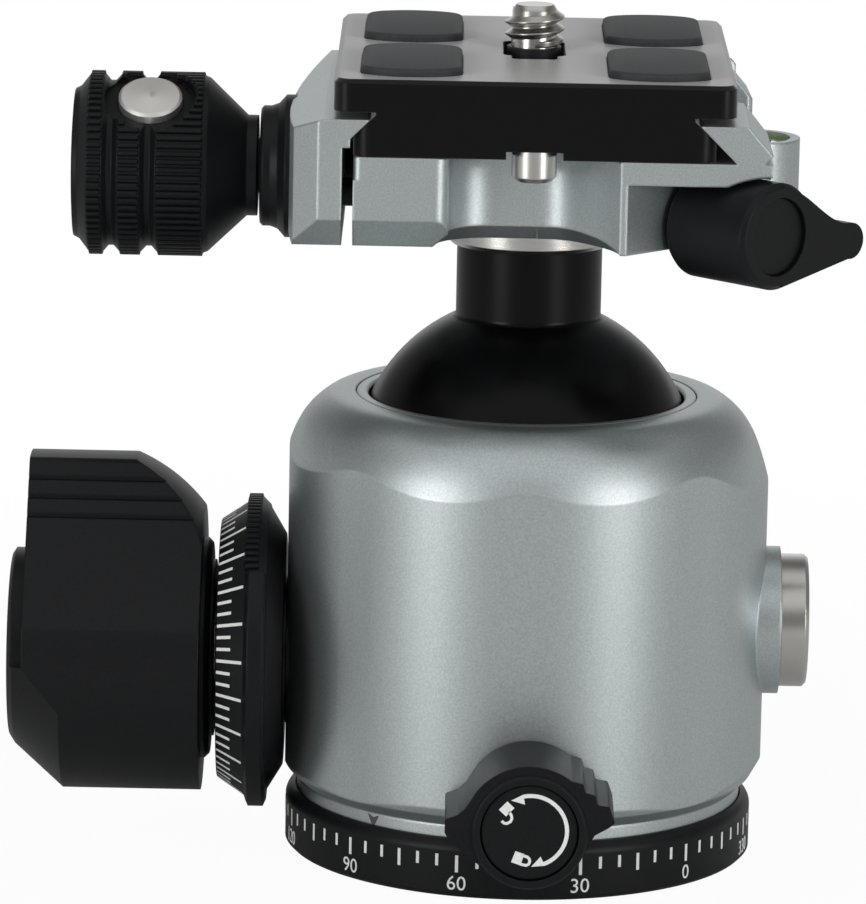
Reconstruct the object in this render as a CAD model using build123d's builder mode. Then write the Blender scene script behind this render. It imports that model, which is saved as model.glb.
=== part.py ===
"""Tripod ball head with a panning base, a lever-locked panning clamp and a dovetail plate.

Origin: centre of the mounting face under the base. +Z is up, -Y is the front, where the pan lock is.
The main lock knob and the plate clamp's knob are on the -X side. All lengths are millimetres.
"""

import os
from math import acos, atan2, cos, degrees, radians, sin, sqrt

from build123d import *

# ---------------------------------------------------------------- driving dimensions
# fits
running_gap = 0.06  # radial clearance of a shaft in its bore
seat_gap = 0.02  # between pieces that are screwed or pressed together
slide_gap = 0.05  # between flat faces that slide on each other

# base and pan bearing
dial_radius = 25.3
dial_bottom_z = 0.4
dial_side_z = 5.45
dial_top_z = 6.6
dial_edge = 0.4
dial_width = 2.9
base_plate_top_z = 6.0
tripod_thread_radius = 3.97
tripod_thread_depth = 9.5
insert_radius = 6.5
insert_flange_radius = 7.8
insert_flange_height = 1.6
spindle_radius = 12.5
spindle_flange_radius = 16.5
spindle_flange_z = 9.3
spindle_top_z = 14.6
base_screw_count = 3
base_screw_radius = 1.25
base_screw_head_radius = 2.25
base_screw_head_height = 2.0
base_screw_circle = 10.4

# housing
housing_bottom_z = 7.9
housing_top_z = 50.2
dial_shoulder = 1.2
housing_front = 25.5
housing_left = 25.4
housing_right = 26.3
housing_diagonal = 25.28
housing_corner_radius = 20.0
housing_side_radius = 26.4
cavity_radius = 19.8
lip_underside_z = 47.4
lip_radius = 18.44
floor_top_z = 18.6
floor_web = 3.8
bearing_ring_height = 2.3
bearing_ring_radius = 18.0
index_ring_bottom_z = 6.1
index_ring_width = 5.9
index_ring_edge = 0.2

# ball and stem
ball_radius = 18.5
ball_z = 42.0
ball_gap = 0.1
stem_radius = 7.8
stem_top_z = 66.7
stem_fillet = 0.35
stem_ring_radius = 8.95
stem_ring_height = 2.8
ball_bore_depth = 12.0
collar_inner_radius = 17.0
collar_height = 2.3
seat_height = 4.0
notch_clearance = 0.7
cup_top_z = 33.2
cup_bottom_z = 19.5
cup_waist_z = 26.0
cup_hole_radius = 6.0
cup_side_gap = 0.2
cup_spring_inner = 8.2
cup_spring_outer = 12.4
cup_spring_wall = 0.35

# main lock: knob, bolt, bushing, pressure shoe, friction dial
lock_z = 21.25
lock_bolt_radius = 4.0
bushing_radius = 6.0
bushing_sleeve_radius = 8.0
bushing_outer_x = -33.0
bushing_inner_x = -21.2
shoe_travel = 0.45
knob_radius = 15.5
knob_lobe_radius = 21.2
knob_lobe_lean = 7.7
knob_lobe_width = 27.8
knob_flat = 14.7
knob_inner_x = -34.5
knob_lobe_outer_x = -53.4
knob_shoulder_x = -41.9
knob_cap_x = -55.3
knob_cap_radius = 9.0
knob_end_radius = 10.3
knob_drum_radius = 10.5
knob_groove_pitch = 2.25
knob_groove_count = 3
knob_groove_width = 0.5
knob_cone_x = -49.4
knob_cap_thickness = 1.5
knob_hub_radius = 12.0
friction_small_radius = 14.0
friction_cone_radius = 16.1
friction_rim_radius = 16.5
friction_outer_x = -32.7
friction_cone_x = -29.6
friction_rim_x = -27.4
friction_rim_bevel = 0.8
friction_inner_x = -25.65
friction_hub_radius = 9.6
friction_thumb_rise = 0.65
friction_thumb_start = 48.0
friction_thumb_arc = 150.0
friction_back_radius = 12.6
side_plug_radius = 7.2
side_plug_z = 25.6
side_boss_radius = 8.0
side_boss_x = 27.9
side_plug_x = 30.9
side_plug_shank_radius = 5.5

# pan lock
pan_lock_x = 0.9
pan_lock_z = 10.95
pan_screw_radius = 3.0
pan_knob_rear = 25.8
pan_knob_front = 37.2
pan_knob_radius = 6.1
pan_body_radius = 7.0
pan_face_rise = 0.5
pan_wing_edge = 0.3
# outlines of the wings about the knob's axis: a plain one and one that comes down in steps
pan_plain_wing = (
    (-6.7, 2.4),
    (-7.5, 1.7),
    (-8.8, 1.2),
    (-8.8, -0.2),
    (-8.3, -1.2),
    (-7.3, -1.8),
    (-6.8, -2.5),
    (-5.2, -3.6),
    (-4.3, -4.2),
)
pan_stepped_wing = (
    (5.2, -3.1),
    (6.05, -1.5),
    (6.8, -0.2),
    (8.2, 0.6),
    (8.85, 1.15),
    (8.25, 2.85),
    (6.95, 3.05),
    (6.75, 4.05),
    (5.7, 4.35),
    (5.5, 5.25),
)
pan_cap_radius = 5.0
pan_cap_seat = 1.4
pan_screw_end = 3.0  # from the knob's face to the screw's end inside it

# clamp
clamp_gap = 0.2
clamp_height = 9.8
clamp_half_length = 25.0
clamp_left_x = -18.75
clamp_right_x = 24.7
jaw_gap = 1.15
jaw_top_drop = 0.8
jaw_outer_x = -25.0
jaw_tip_x = 17.15
jaw_travel = 2.5
lower_chamfer = 3.2
recess_left_x = -8.8
recess_right_x = 9.3
recess_depth = 8.0
recess_corner_radius = 1.5
recess_foot_chamfer = 1.6
lever_face = 24.5
lever_shelf_drop = 2.4
jaw_window_half = 7.9
jaw_window_x = 20.4
jaw_window_drop = 2.9
pan_spindle_radius = 6.5
pan_spindle_head_radius = 9.0
pan_spindle_head_drop = 4.0
pan_spindle_top_drop = 1.3
spindle_socket = 2.5
spindle_groove = 0.6
clamp_axis_rise = 4.7
clamp_bolt_radius = 3.0
clamp_bolt_end = 10.6
guide_pin_radius = 1.5
guide_pin_spacing = 32.0
guide_pin_inner = 12.0
guide_pin_outer = 23.2
jaw_collar_radius = 6.45
jaw_collar_flange_radius = 7.65
jaw_collar_seat_x = -25.2
jaw_collar_end_x = -29.0

# clamp knob and its release button
clamp_knob_radius = 9.5
clamp_knob_groove_radius = 8.85
clamp_knob_neck_radius = 5.4
clamp_knob_inner_x = -29.3
clamp_knob_outer_x = -48.9
clamp_knob_rims = ((35.0, 39.95), (41.7, 44.0), (45.7, 47.3))  # distances out from the centre
clamp_knob_seat = 1.0
clamp_knob_cap_radius = 6.6
button_x = -40.7
button_lean = 30.0
button_radius = 3.4
button_spot_radius = 4.85
button_rise = 1.2
button_travel = 1.0

# clamp pan lever
lever_rise = 2.4
lever_radius = 5.6
lever_rear = 24.8
lever_front = 36.05
lever_reach = 13.2
lever_tip_radius = 1.9
lever_droop = 8.0
lever_wing_depth = 6.5
lever_cap_radius = 4.05
lever_cap_seat = 1.0
lever_screw_radius = 2.5

# spirit level
level_x = 24.2
level_inset = 5.3
level_radius = 5.5
level_drop = 4.0
level_pocket_radius = 5.0
vial_radius = 4.4
vial_depth = 3.4
bubble_radius = 1.6

# plate
plate_half_width = 20.85
plate_thickness = 8.05
plate_flange = 3.4
plate_corner_radius = 1.8
dovetail_half_width = 18.8
dovetail_waist = 16.5
slot_half_width = 3.3
slot_half_length = 5.4
slot_tip_half_width = 2.4
slot_tip_half_length = 7.9
channel_half_width = 6.6
channel_roof = 3.0
pad_x = 12.9
pad_width = 10.6
pad_margin = 5.2
pad_bulge = 2.0
pad_corner_radius = 1.8
pad_rise = 0.85
pad_recess = 0.6
stop_pin_inset = 3.0
stop_pin_radius = 2.35
stop_pin_drop = 2.6
stop_pin_shank_radius = 1.5
stop_pin_shank = 3.8
stop_slot_depth = 0.8

# camera screw
screw_thread_radius = 3.175
screw_neck_radius = 2.4
screw_sleeve_radius = 2.9
screw_head_radius = 6.0
screw_head_height = 3.0
screw_washer_height = 0.9
screw_rise = 4.8
screw_neck_rise = 0.5

# ---------------------------------------------------------------- derived places
base_plate_radius = dial_radius - dial_width
housing_foot_radius = dial_radius - dial_shoulder
index_ring_inner = housing_foot_radius - index_ring_width
sphere_seat_radius = ball_radius + ball_gap
notch_half_width = stem_radius + notch_clearance
stem_ring_top_z = stem_top_z + stem_ring_height
clamp_bottom_z = stem_ring_top_z + clamp_gap
clamp_top_z = clamp_bottom_z + clamp_height
clamp_axis_z = clamp_bottom_z + clamp_axis_rise
lever_z = clamp_bottom_z + lever_rise
lever_shelf_z = clamp_top_z - lever_shelf_drop
jaw_window_z = clamp_top_z - jaw_window_drop
pan_spindle_head_z = clamp_top_z - pan_spindle_head_drop
pan_spindle_top_z = clamp_top_z - pan_spindle_top_drop
level_top_z = clamp_top_z - level_drop
level_y = clamp_half_length - level_inset
recess_wall_y = clamp_half_length - recess_depth
plate_half_length = clamp_half_length
plate_bottom_z = clamp_top_z + slide_gap
plate_top_z = plate_bottom_z + plate_thickness
plate_flange_z = plate_top_z - plate_flange
channel_top_z = plate_top_z - channel_roof
jaw_top_z = plate_flange_z - jaw_top_drop
jaw_inner_x = clamp_left_x - jaw_gap
stop_pin_y = plate_half_length - stop_pin_inset
pad_length = plate_half_length - pad_margin
pad_y = plate_half_length / 2 + 0.2
pad_places = [(a * pad_x, b * pad_y) for a in (-1, 1) for b in (-1, 1)]
screw_thread_z = plate_top_z + screw_neck_rise
screw_top_z = plate_top_z + screw_rise
flank_sum = dovetail_waist + plate_flange_z - 0.3
jaw_flank_sum = flank_sum + slide_gap * sqrt(2)
collar_bottom_z = housing_top_z - collar_height
seat_bottom_z = lip_underside_z - seat_height
ball_bore_radius = lock_bolt_radius
ball_bore_z = stem_top_z - ball_bore_depth
floor_underside_z = floor_top_z - floor_web
flange_bore_radius = spindle_flange_radius + running_gap
bearing_ring_top_z = spindle_flange_z - slide_gap
cup_foot_radius = cavity_radius - cup_side_gap - (cup_waist_z - cup_bottom_z)
shoe_radius = lock_bolt_radius - slide_gap
shoe_nose_x = -(cup_foot_radius + lock_z - cup_bottom_z) - (shoe_travel + 0.15)
shoe_rear_x = bushing_inner_x + 0.9
pan_lock_origin = (pan_lock_x, 0, pan_lock_z)
pan_lock_direction = (0, -1, 0)
lever_direction = (cos(radians(-45)), sin(radians(-45)), 0)
lever_origin = (0, 0, lever_z)
clamp_axis = (0, 0, clamp_axis_z)
outward = (-1, 0, 0)


# ---------------------------------------------------------------- helpers
def axis_plane(origin, direction):
    """A sketch plane whose x runs along direction and whose y points up."""
    return Plane(origin=origin, x_dir=direction, z_dir=Vector(*direction).cross(Vector(0, 0, 1)))


def turned(points, origin=(0, 0, 0), direction=(0, 0, 1), mode=Mode.ADD):
    """Revolve a closed outline. About Z its points are (radius, z), else (distance along, radius)."""
    upright = direction == (0, 0, 1)
    plane = Plane.XZ if upright else axis_plane(origin, direction)
    with BuildSketch(plane) as outline:
        with BuildLine():
            Polyline(*points, close=True)
        make_face()
    revolve(outline.sketch, axis=Axis(origin, direction), mode=mode)


def rod(radius, start, end, origin=(0, 0, 0), direction=(0, 0, 1), mode=Mode.ADD):
    """A round bar or hole along an axis between two distances from its origin."""
    d = Vector(*direction)
    with BuildSketch(Plane(origin=Vector(*origin) + d * start, z_dir=d)) as section:
        Circle(radius)
    extrude(section.sketch, amount=end - start, mode=mode)


def sphere_radius_at(z, radius):
    """Radius of a ball-centred sphere's cross-section at a height."""
    return sqrt(radius**2 - (z - ball_z) ** 2)


def arc_between(start, end, radius):
    """An arc about the ball's centre between two heights, drawn in the (radius, z) plane."""
    middle = (start + end) / 2
    return ThreePointArc(
        (sphere_radius_at(start, radius), start),
        (sphere_radius_at(middle, radius), middle),
        (sphere_radius_at(end, radius), end),
    )


def foot_chamfer(plane, edge, side, size, length):
    """Cut a 45 degree chamfer along a lower edge of the clamp; side points to the air beside it."""
    with BuildSketch(plane) as section:
        with BuildLine():
            Polyline(
                (edge + side, clamp_bottom_z - 1),
                (edge - side * (size + 1), clamp_bottom_z - 1),
                (edge + side, clamp_bottom_z + size + 1),
                close=True,
            )
        make_face()
    extrude(section.sketch, amount=length, mode=Mode.SUBTRACT)


def stem_notch(mode=Mode.SUBTRACT):
    """The U-shaped gap at the back that lets the stem drop to the horizontal."""
    outward = (0, 1, 0)
    for half_width, start in (
        (notch_half_width, 0),
        (stem_ring_radius + notch_clearance, stem_top_z - ball_z - notch_clearance),
    ):
        rod(half_width, start, housing_side_radius + 2, (0, 0, ball_z), outward, mode)
        with BuildSketch(Plane(origin=(0, start, ball_z), x_dir=(1, 0, 0), z_dir=outward)) as mouth:
            with Locations((0, -(housing_top_z - ball_z + 1) / 2)):
                Rectangle(2 * half_width, housing_top_z - ball_z + 1)
        extrude(mouth.sketch, amount=housing_side_radius + 2 - start, mode=mode)


def finish(builder, name):
    """Label a finished piece and write it."""
    builder.part.label = name
    export_step(builder.part, f"parts/{name}.step")


os.makedirs("parts", exist_ok=True)

# ---------------------------------------------------------------- base
with BuildPart() as base_plate:
    turned(
        [
            (insert_radius + seat_gap, insert_flange_height),
            (insert_radius + seat_gap, base_plate_top_z),
            (base_plate_radius, base_plate_top_z),
            (base_plate_radius, dial_bottom_z),
            (base_plate_radius - dial_bottom_z, 0),
            (insert_flange_radius + seat_gap, 0),
            (insert_flange_radius + seat_gap, insert_flange_height),
        ]
    )
    with PolarLocations(base_screw_circle, base_screw_count):
        Hole(base_screw_radius + seat_gap)
        with Locations((0, 0, 0)):
            Cylinder(
                base_screw_head_radius + seat_gap,
                base_screw_head_height + seat_gap,
                align=(Align.CENTER, Align.CENTER, Align.MIN),
                mode=Mode.SUBTRACT,
            )
finish(base_plate, "base_plate")

with BuildPart() as pan_dial:
    inner = base_plate_radius + seat_gap
    step = housing_foot_radius + 0.15
    with BuildSketch(Plane.XZ):
        with BuildLine():
            side = Polyline(
                (inner, base_plate_top_z - 0.1),
                (inner, dial_bottom_z),
                (dial_radius - dial_edge, dial_bottom_z),
                (dial_radius, dial_bottom_z + dial_edge),
                (dial_radius, dial_side_z),
            )
            bevel = ThreePointArc(
                (dial_radius, dial_side_z),
                (dial_radius - 0.35, (dial_side_z + dial_top_z) / 2 + 0.15),
                (step, dial_top_z),
            )
            Polyline((step, dial_top_z), (step, base_plate_top_z - 0.1), (inner, base_plate_top_z - 0.1))
        make_face()
    revolve(axis=Axis.Z)
finish(pan_dial, "pan_dial")

with BuildPart() as thread_insert:
    insert_top_z = tripod_thread_depth + 1.4
    turned(
        [
            (0, insert_top_z),
            (insert_radius, insert_top_z),
            (insert_radius, insert_flange_height),
            (insert_flange_radius, insert_flange_height - seat_gap),
            (insert_flange_radius, 0),
            (0, 0),
        ]
    )
    rod(tripod_thread_radius, 0, tripod_thread_depth, mode=Mode.SUBTRACT)
finish(thread_insert, "thread_insert")

with BuildPart() as pan_spindle:
    turned(
        [
            (insert_radius + seat_gap, base_plate_top_z),
            (spindle_radius, base_plate_top_z),
            (spindle_radius, spindle_flange_z),
            (spindle_flange_radius - 0.3, spindle_flange_z),
            (spindle_flange_radius, spindle_flange_z + 0.3),
            (spindle_flange_radius, spindle_top_z - 0.3),
            (spindle_flange_radius - 0.3, spindle_top_z),
            (insert_radius + seat_gap, spindle_top_z),
        ]
    )
    with PolarLocations(base_screw_circle, base_screw_count):
        Hole(base_screw_radius + seat_gap)
finish(pan_spindle, "pan_spindle")

with BuildPart() as base_screws:
    with PolarLocations(base_screw_circle, base_screw_count):
        with Locations((0, 0, seat_gap)):
            Cylinder(
                base_screw_head_radius,
                base_screw_head_height - seat_gap,
                align=(Align.CENTER, Align.CENTER, Align.MIN),
            )
        with Locations((0, 0, seat_gap)):
            Cylinder(
                base_screw_radius,
                spindle_top_z - 1.0,
                align=(Align.CENTER, Align.CENTER, Align.MIN),
            )
finish(base_screws, "base_screws")


# ---------------------------------------------------------------- housing
def housing_section():
    """The housing's outline from above: eight flats with broad rounded corners between them."""
    flats = [
        (0, -housing_front),
        (45, housing_diagonal),
        (90, housing_right),
        (135, housing_diagonal),
        (180, housing_front),
        (225, housing_diagonal),
        (270, housing_left),
        (315, housing_diagonal),
    ]
    normals = [(sin(radians(a)), -cos(radians(a)), abs(d)) for a, d in flats]
    corners = []
    for (ax, ay, ad), (bx, by, bd) in zip(normals, normals[1:] + normals[:1]):
        cross = ax * by - ay * bx
        corners.append(((ad * by - bd * ay) / cross, (bd * ax - ad * bx) / cross))
    return corners


with BuildPart() as housing:
    with BuildSketch(Plane.XY.offset(housing_bottom_z)):
        with BuildLine():
            Polyline(*housing_section(), close=True)
        section = make_face()
        fillet(section.vertices(), housing_corner_radius)
    extrude(amount=housing_top_z - housing_bottom_z)
    with BuildSketch(Plane.XZ):
        with BuildLine():
            Polyline(
                (0, housing_top_z),
                (0, housing_bottom_z),
                (housing_foot_radius, housing_bottom_z),
                (housing_diagonal + 0.1, housing_bottom_z + 1.25),
                (housing_side_radius, housing_bottom_z + 3.1),
                (housing_side_radius, housing_top_z - 9.6),
            )
            shoulder = Spline(
                (housing_side_radius, housing_top_z - 9.6),
                (housing_side_radius - 0.35, housing_top_z - 7.7),
                (25.2, housing_top_z - 5.1),
                (23.2, housing_top_z - 1.75),
                (21.6, housing_top_z - 0.45),
                (19.6, housing_top_z),
                tangents=[(0, 1), (-1, 0)],
            )
            Line((19.6, housing_top_z), (0, housing_top_z))
        make_face()
    revolve(axis=Axis.Z, mode=Mode.INTERSECT)
    rod(side_boss_radius, housing_right - 3, side_boss_x, (0, 0, side_plug_z), (1, 0, 0))
    turned(
        [
            (0, housing_bottom_z),
            (cavity_radius, housing_bottom_z),
            (cavity_radius, lip_underside_z),
            (lip_radius, lip_underside_z),
            (lip_radius, housing_top_z),
            (0, housing_top_z),
        ],
        mode=Mode.SUBTRACT,
    )
    rod(
        bushing_radius + seat_gap,
        cavity_radius - 2,
        housing_left + 1,
        (0, 0, lock_z),
        outward,
        Mode.SUBTRACT,
    )
    rod(
        side_plug_shank_radius + seat_gap,
        cavity_radius - 2,
        side_boss_x,
        (0, 0, side_plug_z),
        (1, 0, 0),
        Mode.SUBTRACT,
    )
    rod(
        pan_screw_radius + running_gap,
        cavity_radius - 2,
        housing_front + 1,
        pan_lock_origin,
        pan_lock_direction,
        Mode.SUBTRACT,
    )
    stem_notch()
finish(housing, "housing")

with BuildPart() as index_ring:
    turned(
        [
            (index_ring_inner, index_ring_bottom_z),
            (housing_foot_radius - index_ring_edge, index_ring_bottom_z),
            (housing_foot_radius, index_ring_bottom_z + index_ring_edge),
            (housing_foot_radius, housing_bottom_z),
            (index_ring_inner, housing_bottom_z),
        ]
    )
finish(index_ring, "index_ring")

with BuildPart() as bearing_block:
    turned(
        [
            (0, floor_underside_z),
            (flange_bore_radius, floor_underside_z),
            (flange_bore_radius, bearing_ring_top_z),
            (bearing_ring_radius, bearing_ring_top_z),
            (bearing_ring_radius, housing_bottom_z),
            (cavity_radius - seat_gap, housing_bottom_z),
            (cavity_radius - seat_gap, floor_top_z),
            (0, floor_top_z),
        ]
    )
    rod(
        pan_screw_radius + running_gap,
        flange_bore_radius - 2,
        cavity_radius + 1,
        pan_lock_origin,
        pan_lock_direction,
        Mode.SUBTRACT,
    )
    # channel of the pressure shoe across the block's top
    rod(
        lock_bolt_radius + running_gap,
        -shoe_nose_x - shoe_radius - shoe_travel - 0.3,
        cavity_radius + 1,
        (0, 0, lock_z),
        outward,
        Mode.SUBTRACT,
    )
finish(bearing_block, "bearing_block")

with BuildPart() as bearing_ring:
    turned(
        [
            (spindle_radius + running_gap, bearing_ring_top_z - bearing_ring_height),
            (bearing_ring_radius - seat_gap, bearing_ring_top_z - bearing_ring_height),
            (bearing_ring_radius - seat_gap, bearing_ring_top_z - seat_gap),
            (spindle_radius + running_gap, bearing_ring_top_z - seat_gap),
        ]
    )
    rod(
        pan_screw_radius + running_gap,
        spindle_flange_radius,
        cavity_radius,
        pan_lock_origin,
        pan_lock_direction,
        Mode.SUBTRACT,
    )
finish(bearing_ring, "bearing_ring")

with BuildPart() as collar_ring:
    with BuildSketch(Plane.XZ):
        with BuildLine():
            outer = lip_radius - 0.05
            clear = sphere_seat_radius + 0.15
            inside = arc_between(collar_bottom_z, housing_top_z - 0.9, clear)
            top_inner = (collar_inner_radius, housing_top_z - 0.3)
            Polyline(
                (sphere_radius_at(housing_top_z - 0.9, clear), housing_top_z - 0.9),
                top_inner,
                (collar_inner_radius + 0.3, housing_top_z),
                (outer - 0.2, housing_top_z),
                (outer, housing_top_z - 0.2),
                (outer, collar_bottom_z),
                (sphere_radius_at(collar_bottom_z, clear), collar_bottom_z),
            )
        make_face()
    revolve(axis=Axis.Z)
    stem_notch()
finish(collar_ring, "collar_ring")

with BuildPart() as seat_ring:
    with BuildSketch(Plane.XZ):
        with BuildLine():
            outer = cavity_radius - seat_gap
            top = lip_underside_z - seat_gap
            inside = arc_between(seat_bottom_z, top, sphere_seat_radius)
            Polyline(
                (sphere_radius_at(top, sphere_seat_radius), top),
                (outer, top),
                (outer, seat_bottom_z),
                (sphere_radius_at(seat_bottom_z, sphere_seat_radius), seat_bottom_z),
            )
        make_face()
    revolve(axis=Axis.Z)
    stem_notch()
finish(seat_ring, "seat_ring")

with BuildPart() as cup_spring:
    spring_foot_z = floor_top_z + 0.05
    spring_top_z = cup_bottom_z - 0.05
    turned(
        [
            (cup_spring_inner, spring_foot_z),
            (cup_spring_inner, spring_foot_z + cup_spring_wall),
            (cup_spring_outer, spring_top_z),
            (cup_spring_outer, spring_top_z - cup_spring_wall),
        ]
    )
finish(cup_spring, "cup_spring")

with BuildPart() as ball_cup:
    with BuildSketch(Plane.XZ):
        with BuildLine():
            outer = cavity_radius - cup_side_gap
            foot = outer - (cup_waist_z - cup_bottom_z)
            inner_low = ball_z - sqrt(sphere_seat_radius**2 - cup_hole_radius**2)
            inside = ThreePointArc(
                (cup_hole_radius, inner_low),
                (
                    sphere_seat_radius * sin(radians(40)),
                    ball_z - sphere_seat_radius * cos(radians(40)),
                ),
                (sphere_radius_at(cup_top_z, sphere_seat_radius), cup_top_z),
            )
            Polyline(
                (sphere_radius_at(cup_top_z, sphere_seat_radius), cup_top_z),
                (outer, cup_top_z),
                (outer, cup_waist_z),
                (foot, cup_bottom_z),
                (cup_hole_radius, cup_bottom_z),
                (cup_hole_radius, inner_low),
            )
        make_face()
    revolve(axis=Axis.Z)
finish(ball_cup, "ball_cup")

# ---------------------------------------------------------------- main lock
with BuildPart() as lock_bushing:
    bore = lock_bolt_radius + running_gap
    wall_x = -(housing_left + seat_gap)
    turned(
        [
            (bushing_outer_x, bore),
            (bushing_outer_x, bushing_sleeve_radius - 0.3),
            (bushing_outer_x + 0.3, bushing_sleeve_radius),
            (wall_x, bushing_sleeve_radius),
            (wall_x, bushing_radius),
            (bushing_inner_x, bushing_radius),
            (bushing_inner_x, bore),
        ],
        (0, 0, lock_z),
        (1, 0, 0),
    )
finish(lock_bushing, "lock_bushing")

with BuildPart() as pressure_shoe:
    with BuildSketch(axis_plane((0, 0, lock_z), (1, 0, 0))):
        with BuildLine():
            Polyline(
                (shoe_rear_x, -shoe_radius),
                (shoe_rear_x, shoe_radius),
                (shoe_nose_x - shoe_radius, shoe_radius),
                (shoe_nose_x + shoe_radius, -shoe_radius),
                close=True,
            )
        make_face()
    extrude(amount=shoe_radius, both=True)
    with BuildSketch(Plane(origin=(shoe_rear_x, 0, lock_z), z_dir=(1, 0, 0))):
        Circle(shoe_radius)
    extrude(amount=shoe_nose_x + shoe_radius - shoe_rear_x, mode=Mode.INTERSECT)
finish(pressure_shoe, "pressure_shoe")


def lobe_plane(x):
    """Plane across the lock axis at x, with its own y along the lobe, which leans back a little."""
    lean = radians(knob_lobe_lean)
    return Plane(origin=(x, 0, lock_z), x_dir=(0, -cos(lean), sin(lean)), z_dir=(-1, 0, 0))


def knob_end_radius_at(x):
    """Radius of the knob's outer end cone at a place along the axis."""
    slope = (knob_radius - knob_end_radius) / (knob_cone_x - knob_cap_x)
    return knob_end_radius + slope * (x - knob_cap_x)


knob_head_x = knob_cap_x + 4.4
knob_head_radius = knob_cap_radius - 1.6

with BuildPart() as lock_bolt:
    bolt_tip_x = shoe_rear_x - slide_gap
    turned(
        [
            (bolt_tip_x, 0),
            (bolt_tip_x, lock_bolt_radius - 0.6),
            (bolt_tip_x - 0.6, lock_bolt_radius),
            (knob_head_x, lock_bolt_radius),
            (knob_head_x, knob_head_radius),
            (knob_cap_x + knob_cap_thickness + seat_gap, knob_head_radius),
            (knob_cap_x + knob_cap_thickness + seat_gap, 0),
        ],
        (0, 0, lock_z),
        (1, 0, 0),
    )
finish(lock_bolt, "lock_bolt")

with BuildPart() as knob_end_chamfer:
    turned(
        [
            (knob_cone_x, knob_radius),
            (knob_cone_x, knob_lobe_radius + 2),
            (knob_lobe_outer_x - 1, knob_lobe_radius + 2),
            (knob_lobe_outer_x - 1, knob_end_radius_at(knob_lobe_outer_x - 1)),
        ],
        (0, 0, lock_z),
        (1, 0, 0),
    )
    # it fades out along the lobe
    with BuildSketch(Plane(origin=(0, 0, lock_z), x_dir=(1, 0, 0), z_dir=lobe_plane(0).x_dir)):
        with BuildLine():
            Polyline(
                (knob_cone_x + 1, -7.5),
                (knob_lobe_outer_x - 2, 1.5),
                (knob_lobe_outer_x - 2, -knob_lobe_radius - 3),
                (knob_cone_x + 1, -knob_lobe_radius - 3),
                close=True,
            )
        make_face()
    extrude(amount=knob_lobe_radius + 3, both=True, mode=Mode.INTERSECT)

with BuildPart() as knob_end:
    turned(
        [
            (knob_lobe_outer_x + 0.5, 0),
            (knob_lobe_outer_x + 0.5, knob_end_radius_at(knob_lobe_outer_x)),
            (knob_lobe_outer_x, knob_end_radius_at(knob_lobe_outer_x)),
            (knob_cap_x + 0.6, knob_end_radius_at(knob_cap_x + 0.6)),
            (knob_cap_x, knob_end_radius - 0.4),
            (knob_cap_x, 0),
        ],
        (0, 0, lock_z),
        (1, 0, 0),
    )
    # a plain drum on the lobe's side
    with BuildSketch(lobe_plane(knob_lobe_outer_x)):
        with Locations((0, knob_lobe_radius - 1.5)):
            Rectangle(4 * knob_lobe_radius, 2 * knob_lobe_radius)
        Circle(knob_drum_radius, mode=Mode.SUBTRACT)
    extrude(amount=knob_lobe_outer_x - knob_cap_x + 1, mode=Mode.SUBTRACT)

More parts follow.
